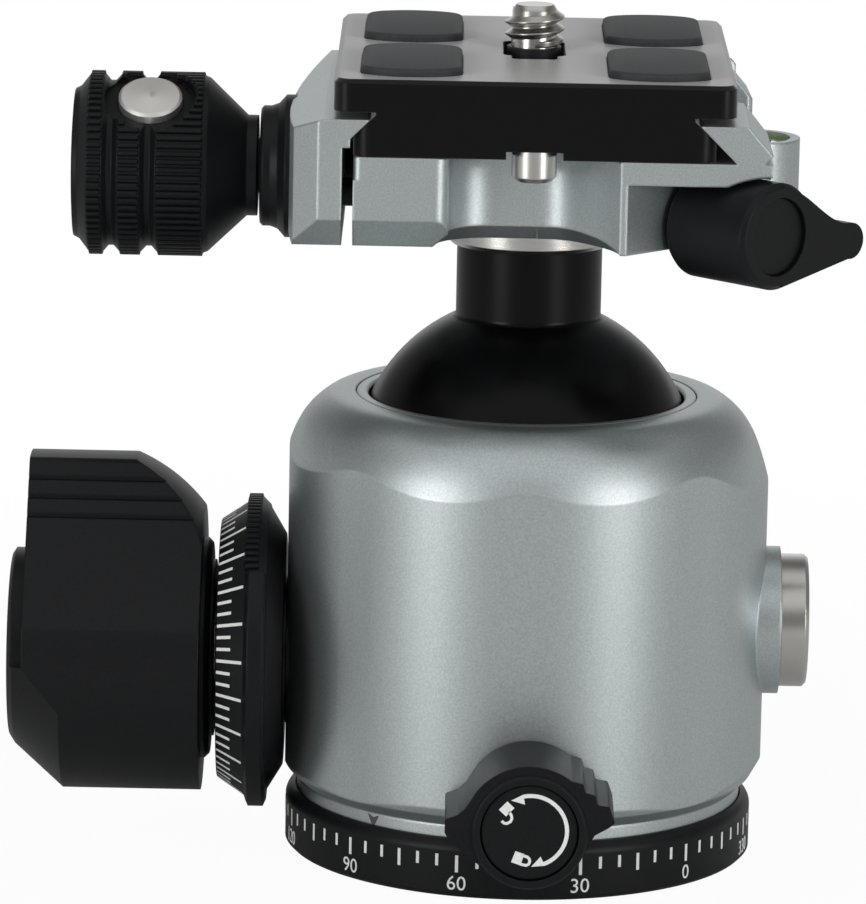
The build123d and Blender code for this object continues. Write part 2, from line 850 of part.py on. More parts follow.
with BuildPart() as lock_knob:
    tip = radians(knob_lobe_width / 2)
    tip_corner = (knob_lobe_radius * sin(tip), knob_lobe_radius * cos(tip))
    flat_angle = atan2(tip_corner[1], tip_corner[0]) - acos(knob_flat / knob_lobe_radius)
    foot_angle = flat_angle - acos(knob_flat / knob_radius)
    flat_foot = (knob_radius * cos(foot_angle), knob_radius * sin(foot_angle))
    with BuildSketch(lobe_plane(knob_inner_x)):
        with BuildLine():
            Line((-flat_foot[0], flat_foot[1]), (-tip_corner[0], tip_corner[1]))
            ThreePointArc((-tip_corner[0], tip_corner[1]), (0, knob_lobe_radius), tip_corner)
            Line(tip_corner, flat_foot)
            ThreePointArc(flat_foot, (0, -knob_radius), (-flat_foot[0], flat_foot[1]))
        make_face()
    extrude(amount=knob_inner_x - knob_lobe_outer_x)
    fillet(lock_knob.edges().filter_by(Axis.X).group_by(SortBy.DISTANCE)[-1], 1.2)
    add(knob_end_chamfer.part, mode=Mode.SUBTRACT)
    # turned shoulder on the side that faces the housing
    with BuildSketch(axis_plane((0, 0, lock_z), (1, 0, 0))):
        with BuildLine():
            start = (knob_shoulder_x, knob_lobe_radius)
            end = (knob_inner_x, knob_radius + 0.1)
            ThreePointArc(start, (knob_inner_x - 3.0, knob_radius + 3.1), end)
            Polyline(
                end,
                (knob_inner_x + 1, knob_radius + 0.1),
                (knob_inner_x + 1, knob_lobe_radius + 2),
                (knob_shoulder_x, knob_lobe_radius + 2),
                start,
            )
        make_face()
    revolve(axis=Axis((0, 0, lock_z), (1, 0, 0)), mode=Mode.SUBTRACT)
    # grip grooves along both flats of the lobe
    with BuildSketch(lobe_plane(knob_inner_x + 1)):
        for side in (-1, 1):
            for n in range(1, knob_groove_count + 1):
                along = n * knob_groove_pitch
                at = (
                    side * (tip_corner[0] + along * sin(flat_angle)),
                    tip_corner[1] - along * cos(flat_angle),
                )
                with Locations(Location((*at, 0), 45 + side * degrees(flat_angle))):
                    Rectangle(knob_groove_width, knob_groove_width)
    extrude(amount=knob_inner_x + 1 - knob_lobe_outer_x + 1, mode=Mode.SUBTRACT)
    # round outer end, hub towards the friction dial, bolt bore and cap recess
    add(knob_end.part)
    turned(
        [
            (knob_inner_x - 1, 0),
            (knob_inner_x - 1, knob_hub_radius),
            (knob_inner_x + 0.4, knob_hub_radius),
            (knob_inner_x + 0.9, knob_hub_radius - 0.5),
            (knob_inner_x + 0.9, friction_hub_radius),
            (bushing_outer_x - 0.2, friction_hub_radius),
            (bushing_outer_x - 0.2, 0),
        ],
        (0, 0, lock_z),
        (1, 0, 0),
    )
    turned(
        [
            (bushing_outer_x, 0),
            (bushing_outer_x, lock_bolt_radius + seat_gap),
            (knob_head_x + seat_gap, lock_bolt_radius + seat_gap),
            (knob_head_x + seat_gap, knob_head_radius + seat_gap),
            (knob_cap_x + knob_cap_thickness, knob_head_radius + seat_gap),
            (knob_cap_x + knob_cap_thickness, knob_cap_radius + 0.2),
            (knob_cap_x - 1, knob_cap_radius + 0.2),
            (knob_cap_x - 1, 0),
        ],
        (0, 0, lock_z),
        (1, 0, 0),
        Mode.SUBTRACT,
    )
finish(lock_knob, "lock_knob")

with BuildPart() as lock_knob_cap:
    turned(
        [
            (knob_cap_x + knob_cap_thickness - seat_gap, 0),
            (knob_cap_x + knob_cap_thickness - seat_gap, knob_cap_radius),
            (knob_cap_x + 0.3, knob_cap_radius),
            (knob_cap_x, knob_cap_radius - 0.3),
            (knob_cap_x, 0),
        ],
        (0, 0, lock_z),
        (1, 0, 0),
    )
finish(lock_knob_cap, "lock_knob_cap")

with BuildPart() as friction_dial:
    turned(
        [
            (friction_outer_x, bushing_sleeve_radius + running_gap),
            (friction_outer_x, friction_small_radius),
            (friction_cone_x, friction_cone_radius),
            (friction_cone_x - 0.1, friction_rim_radius - 0.3),
            (friction_cone_x + 0.3, friction_rim_radius),
            (friction_rim_x - friction_rim_bevel, friction_rim_radius),
            (friction_rim_x, friction_rim_radius - friction_rim_bevel),
            (friction_rim_x, friction_cone_radius - 0.6),
            (friction_inner_x, friction_back_radius),
            (friction_inner_x, bushing_sleeve_radius + running_gap),
        ],
        (0, 0, lock_z),
        (1, 0, 0),
    )
    # plain thumb sector, a little proud of the rim
    start_plane = axis_plane((0, 0, lock_z), (1, 0, 0)).rotated((friction_thumb_start, 0, 0))
    with BuildSketch(start_plane):
        with BuildLine():
            Polyline(
                (friction_cone_x, friction_cone_radius - 1),
                (friction_cone_x, friction_rim_radius),
                (friction_cone_x + 0.3, friction_rim_radius + friction_thumb_rise),
                (friction_rim_x - 0.3, friction_rim_radius + friction_thumb_rise),
                (friction_rim_x, friction_rim_radius),
                (friction_rim_x, friction_cone_radius - 1),
                close=True,
            )
        make_face()
    revolve(axis=Axis((0, 0, lock_z), (1, 0, 0)), revolution_arc=friction_thumb_arc)
finish(friction_dial, "friction_dial")

with BuildPart() as side_plug:
    turned(
        [
            (cavity_radius + 0.2, 0),
            (cavity_radius + 0.2, side_plug_shank_radius),
            (side_boss_x + seat_gap, side_plug_shank_radius),
            (side_boss_x + seat_gap, side_plug_radius),
            (side_plug_x - 0.4, side_plug_radius),
            (side_plug_x, side_plug_radius - 0.4),
            (side_plug_x, 0),
        ],
        (0, 0, side_plug_z),
        (1, 0, 0),
    )
finish(side_plug, "side_plug")

# ---------------------------------------------------------------- pan lock
pad_front = cavity_radius - 0.4
pad_rear = flange_bore_radius + 0.05

with BuildPart() as pan_lock_pad:
    rod(pan_screw_radius - slide_gap, pad_rear, pad_front, pan_lock_origin, pan_lock_direction)
    rod(spindle_flange_radius + 0.2, 0, housing_top_z, mode=Mode.SUBTRACT)
finish(pan_lock_pad, "pan_lock_pad")

with BuildPart() as pan_lock_screw:
    turned(
        [
            (pad_front + slide_gap, 0),
            (pad_front + slide_gap, pan_screw_radius - 0.5),
            (pad_front + slide_gap + 0.5, pan_screw_radius),
            (pan_knob_front - pan_screw_end, pan_screw_radius),
            (pan_knob_front - pan_screw_end, 0),
        ],
        pan_lock_origin,
        pan_lock_direction,
    )
finish(pan_lock_screw, "pan_lock_screw")

with BuildPart() as pan_knob:
    face = pan_knob_front - pan_face_rise
    arch_right = (pan_body_radius * cos(radians(52)), pan_body_radius * sin(radians(52)))
    arch_left = (pan_body_radius * cos(radians(142)), pan_body_radius * sin(radians(142)))
    with BuildSketch(Plane(origin=(pan_lock_x, -face, pan_lock_z), x_dir=(1, 0, 0), z_dir=(0, -1, 0))):
        with BuildLine():
            Polyline(*pan_stepped_wing, arch_right)
            ThreePointArc(arch_right, (0, pan_body_radius), arch_left)
            Polyline(arch_left, *pan_plain_wing, pan_stepped_wing[0])
        wings = make_face()
        fillet(wings.vertices(), pan_wing_edge)
    extrude(amount=pan_knob_rear - face)
    # round face, screw bore and cap recess
    turned(
        [
            (pan_knob_rear, 0),
            (pan_knob_rear, pan_knob_radius),
            (pan_knob_front - 0.3, pan_knob_radius),
            (pan_knob_front, pan_knob_radius - 0.3),
            (pan_knob_front, 0),
        ],
        pan_lock_origin,
        pan_lock_direction,
    )
    turned(
        [
            (pan_knob_rear - 1, 0),
            (pan_knob_rear - 1, pan_screw_radius + seat_gap),
            (pan_knob_front - pan_screw_end + seat_gap, pan_screw_radius + seat_gap),
            (pan_knob_front - pan_screw_end + seat_gap, 0),
        ],
        pan_lock_origin,
        pan_lock_direction,
        Mode.SUBTRACT,
    )
    rod(
        pan_cap_radius + 0.15,
        pan_knob_front - pan_cap_seat,
        pan_knob_front + 1,
        pan_lock_origin,
        pan_lock_direction,
        Mode.SUBTRACT,
    )
finish(pan_knob, "pan_knob")

with BuildPart() as pan_knob_cap:
    rod(
        pan_cap_radius,
        pan_knob_front - pan_cap_seat + seat_gap,
        pan_knob_front - 0.35,
        pan_lock_origin,
        pan_lock_direction,
    )
finish(pan_knob_cap, "pan_knob_cap")

# ---------------------------------------------------------------- ball, stem and clamp bearing
with BuildPart() as ball:
    with BuildSketch(Plane.XZ):
        with BuildLine():
            bottom_cut = 6.5
            bottom_z = ball_z - sqrt(ball_radius**2 - bottom_cut**2)
            fillet_foot = stem_radius + stem_fillet
            fillet_z = ball_z + sqrt(ball_radius**2 - fillet_foot**2)
            Line((0, ball_bore_z), (0, bottom_z))
            Line((0, bottom_z), (bottom_cut, bottom_z))
            ThreePointArc((bottom_cut, bottom_z), (ball_radius, ball_z), (fillet_foot, fillet_z))
            ThreePointArc(
                (fillet_foot, fillet_z),
                (stem_radius + 0.3 * stem_fillet, fillet_z + 0.55 * stem_fillet),
                (stem_radius, fillet_z + 1.5 * stem_fillet),
            )
            Polyline(
                (stem_radius, fillet_z + 1.5 * stem_fillet),
                (stem_radius, stem_top_z),
                (ball_bore_radius + seat_gap, stem_top_z),
                (ball_bore_radius + seat_gap, ball_bore_z),
                (0, ball_bore_z),
            )
        make_face()
    revolve(axis=Axis.Z)
finish(ball, "ball")

with BuildPart() as stem_ring:
    turned(
        [
            (ball_bore_radius + seat_gap, stem_top_z),
            (stem_ring_radius - 0.5, stem_top_z),
            (stem_ring_radius, stem_top_z + 0.5),
            (stem_ring_radius, stem_ring_top_z),
            (ball_bore_radius + seat_gap, stem_ring_top_z),
        ]
    )
finish(stem_ring, "stem_ring")

with BuildPart() as clamp_spindle:
    turned(
        [
            (0, ball_bore_z + seat_gap),
            (ball_bore_radius, ball_bore_z + seat_gap),
            (ball_bore_radius, stem_ring_top_z),
            (pan_spindle_radius, stem_ring_top_z),
            (pan_spindle_radius, lever_z - lever_screw_radius),
            (pan_spindle_radius - spindle_groove, lever_z - lever_screw_radius + 0.8),
            (pan_spindle_radius - spindle_groove, lever_z + lever_screw_radius - 0.8),
            (pan_spindle_radius, lever_z + lever_screw_radius),
            (pan_spindle_radius, pan_spindle_head_z),
            (pan_spindle_head_radius, pan_spindle_head_z),
            (pan_spindle_head_radius, pan_spindle_top_z),
            (0, pan_spindle_top_z),
        ]
    )
    with BuildSketch(Plane.XY.offset(pan_spindle_top_z)):
        RegularPolygon(spindle_socket, 6, major_radius=False)
    extrude(amount=-spindle_socket, mode=Mode.SUBTRACT)
finish(clamp_spindle, "clamp_spindle")


# ---------------------------------------------------------------- clamp body
def jaw_flank(side, foot_z):
    """Points of a jaw's dovetail side from its tip down to a height; side is +1 or -1."""
    return [
        (side * jaw_tip_x, jaw_top_z),
        (side * jaw_tip_x, jaw_flank_sum - jaw_tip_x),
        (side * (jaw_flank_sum - foot_z), foot_z),
    ]


lever_corner = lever_face * sqrt(2)  # x - y on the face that carries the lever

with BuildPart() as clamp_body:
    # full-width table under the plate
    with BuildSketch(Plane.XY.offset(clamp_top_z)):
        with BuildLine():
            Polyline(
                (clamp_left_x, -clamp_half_length),
                (clamp_right_x, -clamp_half_length),
                (clamp_right_x, -5),
                (clamp_right_x - 1.1, 12),
                (clamp_right_x - 2.2, clamp_half_length),
                (clamp_left_x, clamp_half_length),
                close=True,
            )
        table = make_face()
        fillet(table.vertices().group_by(Axis.X)[0], 0.8)
    extrude(amount=lever_shelf_z - clamp_top_z)
    # lower block, cut back at 45 degrees for the lever
    with BuildSketch(Plane.XY.offset(lever_shelf_z)):
        with BuildLine():
            Polyline(
                (clamp_left_x, -clamp_half_length),
                (lever_corner - clamp_half_length, -clamp_half_length),
                (clamp_right_x - 0.5, clamp_right_x - 0.5 - lever_corner),
                (clamp_right_x - 0.5, 5),
                (clamp_right_x - 3.5, clamp_half_length),
                (clamp_left_x, clamp_half_length),
                close=True,
            )
        make_face()
    extrude(amount=clamp_bottom_z - lever_shelf_z)
    # fixed jaw
    with BuildSketch(Plane.XZ.offset(clamp_half_length)):
        with BuildLine():
            Polyline(
                *jaw_flank(1, clamp_top_z),
                (clamp_right_x - 1, clamp_top_z),
                (clamp_right_x, clamp_top_z + 0.9),
                (clamp_right_x - 2.6, jaw_top_z),
                close=True,
            )
        make_face()
    extrude(amount=-2 * clamp_half_length)
    # front edge and ends of the fixed jaw taper in plan
    with BuildSketch(Plane.XY.offset(jaw_top_z + 1)):
        with BuildLine():
            Polyline(
                (clamp_right_x + 1, -5),
                (clamp_right_x, -5),
                (clamp_right_x - 1.1, 12),
                (clamp_right_x - 2.2, clamp_half_length + 1),
                (clamp_right_x + 1, clamp_half_length + 1),
                close=True,
            )
        make_face()
        # window between the jaw's two halves
        with BuildLine():
            Polyline(
                (jaw_window_x, -jaw_window_half),
                (clamp_right_x - 1.3, -jaw_window_half),
                (clamp_right_x + 1, -jaw_window_half - 2.3),
                (clamp_right_x + 1, jaw_window_half + 2.3),
                (clamp_right_x - 1.3, jaw_window_half),
                (jaw_window_x, jaw_window_half),
                close=True,
            )
        make_face()
    extrude(amount=jaw_window_z - jaw_top_z - 1, mode=Mode.SUBTRACT)
    # S-curved recess at the front, where the plate's stop pin travels
    with BuildSketch(Plane.XY) as recess:
        with BuildLine():
            left = recess_left_x
            right = recess_right_x
            round_x = left - recess_corner_radius
            round_y = recess_corner_radius - clamp_half_length
            Line((round_x, -clamp_half_length - 1), (round_x, -clamp_half_length))
            ThreePointArc(
                (round_x, -clamp_half_length),
                (
                    round_x + recess_corner_radius * sin(radians(45)),
                    round_y - recess_corner_radius * cos(radians(45)),
                ),
                (left, round_y),
            )
            Polyline(
                (left, round_y),
                (left, -recess_wall_y - 1.5),
                (left + 1.5, -recess_wall_y),
                (0.5, -recess_wall_y),
            )
            Spline(
                (0.5, -recess_wall_y),
                (5.0, -recess_wall_y - 2.6),
                (right - 0.2, -clamp_half_length - 0.2),
                tangents=[(1, 0), (0.5, -1)],
            )
            Polyline(
                (right - 0.2, -clamp_half_length - 0.2),
                (right - 0.2, -clamp_half_length - 1),
                (round_x, -clamp_half_length - 1),
            )
        make_face()
    extrude(
        Plane.XY.offset(clamp_bottom_z - 1) * recess.sketch,
        amount=clamp_height + 2,
        dir=(0, 0, 1),
        mode=Mode.SUBTRACT,
    )
    foot_chamfer(Plane.XZ.offset(recess_wall_y), recess_left_x, 1, recess_foot_chamfer, recess_depth + 1)
    foot_chamfer(
        Plane.YZ.offset(recess_left_x),
        -recess_wall_y,
        -1,
        recess_foot_chamfer,
        0.5 - recess_left_x,
    )
    # plain recess at the back
    with BuildSketch(Plane.XY.offset(clamp_top_z + 1)):
        with Locations((0, (clamp_half_length + recess_wall_y) / 2 + 0.5)):
            Rectangle(2 * recess_right_x, clamp_half_length - recess_wall_y + 1)
    extrude(amount=clamp_bottom_z - clamp_top_z - 2, mode=Mode.SUBTRACT)
    # level lug, open to the top through the end of the jaw
    level_at = (level_x, level_y, 0)
    rod(level_pocket_radius, level_top_z, jaw_top_z + 1, level_at, mode=Mode.SUBTRACT)
    rod(level_radius, clamp_bottom_z, level_top_z, level_at)
    rod(vial_radius + seat_gap, level_top_z - vial_depth, level_top_z, level_at, mode=Mode.SUBTRACT)
    # chamfers along the lower edges: left of the recess at the front, the whole rear
    for side, end in ((-1, recess_left_x), (1, clamp_right_x + 1)):
        foot_chamfer(
            Plane.YZ.offset(clamp_left_x - 1),
            side * clamp_half_length,
            side,
            lower_chamfer,
            end - clamp_left_x + 1,
        )
    # clearances: spindle, clamp bolt, guide pins, lever and its screw
    rod(pan_spindle_radius + running_gap, clamp_bottom_z - 1, clamp_top_z, mode=Mode.SUBTRACT)
    rod(
        pan_spindle_head_radius + 0.15,
        pan_spindle_head_z - slide_gap,
        clamp_top_z + 1,
        mode=Mode.SUBTRACT,
    )
    rod(
        clamp_bolt_radius + running_gap,
        clamp_bolt_end - 0.4,
        -clamp_left_x + 1,
        clamp_axis,
        outward,
        Mode.SUBTRACT,
    )
    for side in (-1, 1):
        rod(
            guide_pin_radius + seat_gap,
            guide_pin_inner,
            -clamp_left_x + 1,
            (0, side * guide_pin_spacing / 2, clamp_axis_z),
            outward,
            Mode.SUBTRACT,
        )
    rod(lever_radius + 0.5, lever_face, lever_front, lever_origin, lever_direction, Mode.SUBTRACT)
    rod(
        lever_screw_radius + running_gap,
        pan_spindle_radius - 2,
        lever_face + 5,
        lever_origin,
        lever_direction,
        Mode.SUBTRACT,
    )
finish(clamp_body, "clamp_body")

with BuildPart() as clamp_cover:
    rod(pan_spindle_head_radius, pan_spindle_top_z + slide_gap, clamp_top_z - slide_gap)
    rod(1.5, pan_spindle_top_z - 1, clamp_top_z, mode=Mode.SUBTRACT)
finish(clamp_cover, "clamp_cover")

with BuildPart() as guide_pins:
    for side in (-1, 1):
        rod(
            guide_pin_radius,
            guide_pin_inner + seat_gap,
            guide_pin_outer,
            (0, side * guide_pin_spacing / 2, clamp_axis_z),
            outward,
        )
finish(guide_pins, "guide_pins")

with BuildPart() as level_vial:
    with BuildSketch(Plane.XY.offset(level_top_z - vial_depth + seat_gap)):
        with Locations((level_x, level_y)):
            Circle(vial_radius)
    extrude(amount=vial_depth - 0.4)
    with BuildSketch(Plane.XY.offset(level_top_z - 1.5)):
        with Locations((level_x, level_y)):
            Circle(bubble_radius)
    extrude(amount=0.6, mode=Mode.SUBTRACT)
finish(level_vial, "level_vial")

jaw_bore = clamp_bolt_radius + 0.25

with BuildPart() as moving_jaw:
    step_z = clamp_top_z + 0.95
    with BuildSketch(Plane.XZ.offset(clamp_half_length)):
        with BuildLine():
            Polyline(
                (-jaw_tip_x, jaw_top_z),
                (-jaw_tip_x, jaw_flank_sum - jaw_tip_x),
                (-(dovetail_half_width + 0.3), jaw_flank_sum - dovetail_half_width - 0.3),
                (-(dovetail_half_width + 0.3), step_z),
                (jaw_inner_x, step_z),
                (jaw_inner_x, clamp_bottom_z),
                (jaw_outer_x - 1, clamp_bottom_z),
                (jaw_outer_x - 1, jaw_top_z - 1.7),
                (jaw_outer_x + 3.0, jaw_top_z),
                close=True,
            )
        make_face()
    extrude(amount=-2 * clamp_half_length)
    with BuildSketch(Plane.XY.offset(clamp_bottom_z - 1)):
        with BuildLine():
            half = clamp_half_length
            Polyline(
                (jaw_outer_x, -half + 2.6),
                (jaw_outer_x + 2.6, -half),
                (0, -half),
                (0, half),
                (jaw_outer_x + 2.9, half),
            )
            ThreePointArc(
                (jaw_outer_x + 2.9, half),
                (jaw_outer_x - 0.6, -2),
                (jaw_outer_x, -half + 2.6),
            )
        make_face()
    extrude(amount=jaw_top_z - clamp_bottom_z + 2, mode=Mode.INTERSECT)
    for side in (-1, 1):
        foot_chamfer(
            Plane.YZ.offset(jaw_outer_x - 2), side * clamp_half_length, side, lower_chamfer, 10
        )
    rod(
        jaw_collar_flange_radius + seat_gap,
        -jaw_collar_seat_x,
        -jaw_collar_end_x,
        clamp_axis,
        outward,
        Mode.SUBTRACT,
    )
    rod(jaw_bore, -jaw_inner_x - 1, -jaw_collar_end_x, clamp_axis, outward, Mode.SUBTRACT)
    for side in (-1, 1):
        rod(
            guide_pin_radius + running_gap,
            -jaw_inner_x - 1,
            guide_pin_outer + 0.3,
            (0, side * guide_pin_spacing / 2, clamp_axis_z),
            outward,
            Mode.SUBTRACT,
        )
finish(moving_jaw, "moving_jaw")

with BuildPart() as jaw_collar:
    turned(
        [
            (seat_gap - jaw_collar_seat_x, jaw_bore),
            (seat_gap - jaw_collar_seat_x, jaw_collar_flange_radius),
            (1.1 - jaw_collar_seat_x, jaw_collar_flange_radius),
            (1.9 - jaw_collar_seat_x, jaw_collar_radius + 0.3),
            (2.7 - jaw_collar_seat_x, jaw_collar_radius),
            (-jaw_collar_end_x - 0.3, jaw_collar_radius),
            (-jaw_collar_end_x, jaw_collar_radius - 0.3),
            (-jaw_collar_end_x, jaw_bore),
        ],
        clamp_axis,
        outward,
    )
finish(jaw_collar, "jaw_collar")

# ---------------------------------------------------------------- clamp knob with release button
button_direction = (0, -sin(radians(button_lean)), cos(radians(button_lean)))
button_origin = (button_x, 0, clamp_axis_z)
button_spot = sqrt(clamp_knob_radius**2 - button_spot_radius**2)
button_floor = clamp_bolt_radius + 0.6

with BuildPart() as clamp_knob:
    inner = -clamp_knob_inner_x
    outer = -clamp_knob_outer_x
    cap_bore = clamp_knob_cap_radius + seat_gap
    rim_points = []
    for near, far in clamp_knob_rims:
        rim_points += [(near, clamp_knob_radius), (far, clamp_knob_radius)]
        if (near, far) != clamp_knob_rims[-1]:
            rim_points += [(far + 0.6, clamp_knob_groove_radius), (far + 1.15, clamp_knob_groove_radius)]
    turned(
        [
            (inner, clamp_bolt_radius + seat_gap),
            (inner, clamp_knob_neck_radius),
            (inner + 1.1, clamp_knob_neck_radius),
            (clamp_knob_rims[0][0] - 0.5, clamp_knob_radius - 0.2),
            *rim_points,
            (outer - 0.6, clamp_knob_cap_radius + 1.6),
            (outer, clamp_knob_cap_radius + 1.3),
            (outer, cap_bore),
            (outer - clamp_knob_seat, cap_bore),
            (outer - clamp_knob_seat, clamp_bolt_radius + seat_gap),
        ],
        clamp_axis,
        outward,
    )
    above = clamp_knob_radius + 3
    rod(button_spot_radius, button_spot, above, button_origin, button_direction, Mode.SUBTRACT)
    rod(
        button_radius + running_gap,
        button_floor,
        above,
        button_origin,
        button_direction,
        Mode.SUBTRACT,
    )
finish(clamp_knob, "clamp_knob")

with BuildPart() as clamp_knob_cap:
    rod(clamp_knob_cap_radius, outer - clamp_knob_seat + seat_gap, outer + 0.1, clamp_axis, outward)
finish(clamp_knob_cap, "clamp_knob_cap")

with BuildPart() as clamp_bolt:
    rod(clamp_bolt_radius, clamp_bolt_end, outer - clamp_knob_seat - seat_gap, clamp_axis, outward)
finish(clamp_bolt, "clamp_bolt")

with BuildPart() as press_button:
    top = button_spot + button_rise
    foot = button_floor + button_travel + 0.1
    turned(
        [
            (foot, 0),
            (foot, button_radius),
            (top - 0.35, button_radius),
            (top - 0.1, button_radius - 0.3),
            (top + 0.15, 0),
        ],
        button_origin,
        button_direction,
    )
finish(press_button, "press_button")

# ---------------------------------------------------------------- clamp pan lever
with BuildPart() as clamp_lever:
    face_plane = Plane(
        origin=Vector(*lever_origin) + Vector(*lever_direction) * lever_front,
        x_dir=(cos(radians(45)), sin(radians(45)), 0),
        z_dir=lever_direction,
    )
    turned(
        [
            (lever_rear, lever_screw_radius + seat_gap),
            (lever_rear, lever_radius - 0.4),
            (lever_rear + 0.6, lever_radius),
            (lever_front - 0.5, lever_radius),
            (lever_front, lever_radius - 0.5),
            (lever_front, lever_cap_radius + 0.05),
            (lever_front - lever_cap_seat, lever_cap_radius + 0.05),
            (lever_front - lever_cap_seat, lever_screw_radius + seat_gap),
        ],
        lever_origin,
        lever_direction,
    )
    with BuildSketch(face_plane):
        tip_x = (lever_reach - lever_tip_radius) * cos(radians(lever_droop))
        tip_y = -(lever_reach - lever_tip_radius) * sin(radians(lever_droop))
        with BuildLine():
            Line((0.6, lever_radius - 0.25), (0.6, -lever_radius + 0.25))
            Line((0.6, -lever_radius + 0.25), (tip_x - 0.4, tip_y - lever_tip_radius))
            ThreePointArc(
                (tip_x - 0.4, tip_y - lever_tip_radius),
                (tip_x + lever_tip_radius, tip_y),
                (tip_x, tip_y + lever_tip_radius),
            )
            Spline(
                (tip_x, tip_y + lever_tip_radius),
                (tip_x - 3.2, tip_y + lever_tip_radius + 0.9),
                (0.6, lever_radius - 0.25),
                tangents=[(-1, 0), (-1, 0.3)],
            )
        make_face()
        Circle(lever_cap_radius + 0.05, mode=Mode.SUBTRACT)
    extrude(amount=-lever_wing_depth)
    rod(
        lever_screw_radius + seat_gap,
        lever_rear - 1,
        lever_front,
        lever_origin,
        lever_direction,
        Mode.SUBTRACT,
    )
finish(clamp_lever, "clamp_lever")

with BuildPart() as lever_cap:
    rod(
        lever_cap_radius,
        lever_front - lever_cap_seat + seat_gap,
        lever_front - 0.5,
        lever_origin,
        lever_direction,
    )
finish(lever_cap, "lever_cap")

with BuildPart() as lever_screw:
    rod(
        lever_screw_radius,
        pan_spindle_radius + slide_gap,
        lever_front - lever_cap_seat - seat_gap,
        lever_origin,
        lever_direction,
    )
finish(lever_screw, "lever_screw")

# ---------------------------------------------------------------- plate
def pad_outline(width, length):
    """Barrel-shaped outline: straight long sides and bulged ends."""
    half_x = width / 2
    half_y = length / 2
    straight = half_y - pad_bulge
    with BuildSketch() as outline:
        with BuildLine():
            Line((-half_x, -straight), (-half_x, straight))
            ThreePointArc((-half_x, straight), (0, half_y), (half_x, straight))
            Line((half_x, straight), (half_x, -straight))
            ThreePointArc((half_x, -straight), (0, -half_y), (-half_x, -straight))
        make_face()
        fillet(outline.vertices(), pad_corner_radius)
    return outline.sketch


with BuildPart() as plate_blank:
    with BuildSketch(Plane.XY.offset(plate_bottom_z)):
        RectangleRounded(2 * dovetail_half_width, 2 * plate_half_length, plate_corner_radius)
    extrude(amount=plate_flange_z - plate_bottom_z)
    with BuildSketch(Plane.XY.offset(plate_flange_z)):
        RectangleRounded(2 * plate_half_width, 2 * plate_half_length, plate_corner_radius)
    extrude(amount=plate_flange)

with BuildPart() as qr_plate:
    with BuildSketch(Plane.XZ.offset(plate_half_length)):
        with BuildLine():
            Polyline(
                (dovetail_half_width, plate_bottom_z),
                (dovetail_half_width, flank_sum - dovetail_half_width),
                (dovetail_waist, flank_sum - dovetail_waist),
                (dovetail_waist, plate_flange_z),
                (plate_half_width, plate_flange_z),
                (plate_half_width, plate_top_z),
                (-plate_half_width, plate_top_z),
                (-plate_half_width, plate_flange_z),
                (-dovetail_waist, plate_flange_z),
                (-dovetail_waist, flank_sum - dovetail_waist),
                (-dovetail_half_width, flank_sum - dovetail_half_width),
                (-dovetail_half_width, plate_bottom_z),
                close=True,
            )
        make_face()
    extrude(amount=-2 * plate_half_length)
    add(plate_blank.part, mode=Mode.INTERSECT)
    chamfer(qr_plate.faces().sort_by(Axis.Z)[-1].edges(), 0.45)
    # slot and underside channel for the camera screw
    with BuildSketch(Plane.XY.offset(plate_top_z + 1)):
        RectangleRounded(2 * slot_half_width, 2 * slot_half_length, 1)
        RectangleRounded(2 * slot_tip_half_width, 2 * slot_tip_half_length, 0.6)
    extrude(amount=plate_bottom_z - plate_top_z - 2, mode=Mode.SUBTRACT)
    with BuildSketch(Plane.XY.offset(plate_bottom_z - 1)):
        SlotOverall(
            2 * (slot_half_length - slot_half_width + channel_half_width),
            2 * channel_half_width,
            rotation=90,
        )
    extrude(amount=channel_top_z - plate_bottom_z + 1, mode=Mode.SUBTRACT)
    # pad recesses
    with BuildSketch(Plane.XY.offset(plate_top_z)):
        with Locations(*pad_places):
            add(pad_outline(pad_width, pad_length))
    extrude(amount=-pad_recess, mode=Mode.SUBTRACT)
    # underside slots and bores of the stop pins
    with BuildSketch(Plane.XY.offset(plate_bottom_z)):
        for side in (-1, 1):
            with Locations((0, side * (stop_pin_y + 1.5))):
                Rectangle(2 * stop_pin_radius + 1.2, 10)
    extrude(amount=stop_slot_depth, mode=Mode.SUBTRACT)
    with BuildSketch(Plane.XY.offset(plate_bottom_z)):
        with Locations((0, -stop_pin_y), (0, stop_pin_y)):
            Circle(stop_pin_shank_radius + seat_gap)
    extrude(amount=stop_slot_depth + stop_pin_shank + 0.2, mode=Mode.SUBTRACT)
finish(qr_plate, "qr_plate")

with BuildPart() as plate_pads:
    with BuildSketch(Plane.XY.offset(plate_top_z - pad_recess + seat_gap)):
        with Locations(*pad_places):
            add(pad_outline(pad_width - 0.1, pad_length - 0.1))
    extrude(amount=pad_recess + pad_rise)
    chamfer(plate_pads.faces().group_by(Axis.Z)[-1].edges(), 0.35)
finish(plate_pads, "plate_pads")

with BuildPart() as stop_pins:
    top = plate_bottom_z + stop_slot_depth - seat_gap
    bottom = plate_bottom_z - stop_pin_drop
    for side in (-1, 1):
        with BuildSketch(Plane.XZ.offset(-side * stop_pin_y)):
            with BuildLine():
                Polyline(
                    (0, bottom),
                    (stop_pin_radius - 0.5, bottom),
                    (stop_pin_radius, bottom + 0.5),
                    (stop_pin_radius, top),
                    (stop_pin_shank_radius, top),
                    (stop_pin_shank_radius, top + stop_pin_shank),
                    (0, top + stop_pin_shank),
                    close=True,
                )
            make_face()
        revolve(axis=Axis((0, side * stop_pin_y, 0), (0, 0, 1)))
finish(stop_pins, "stop_pins")

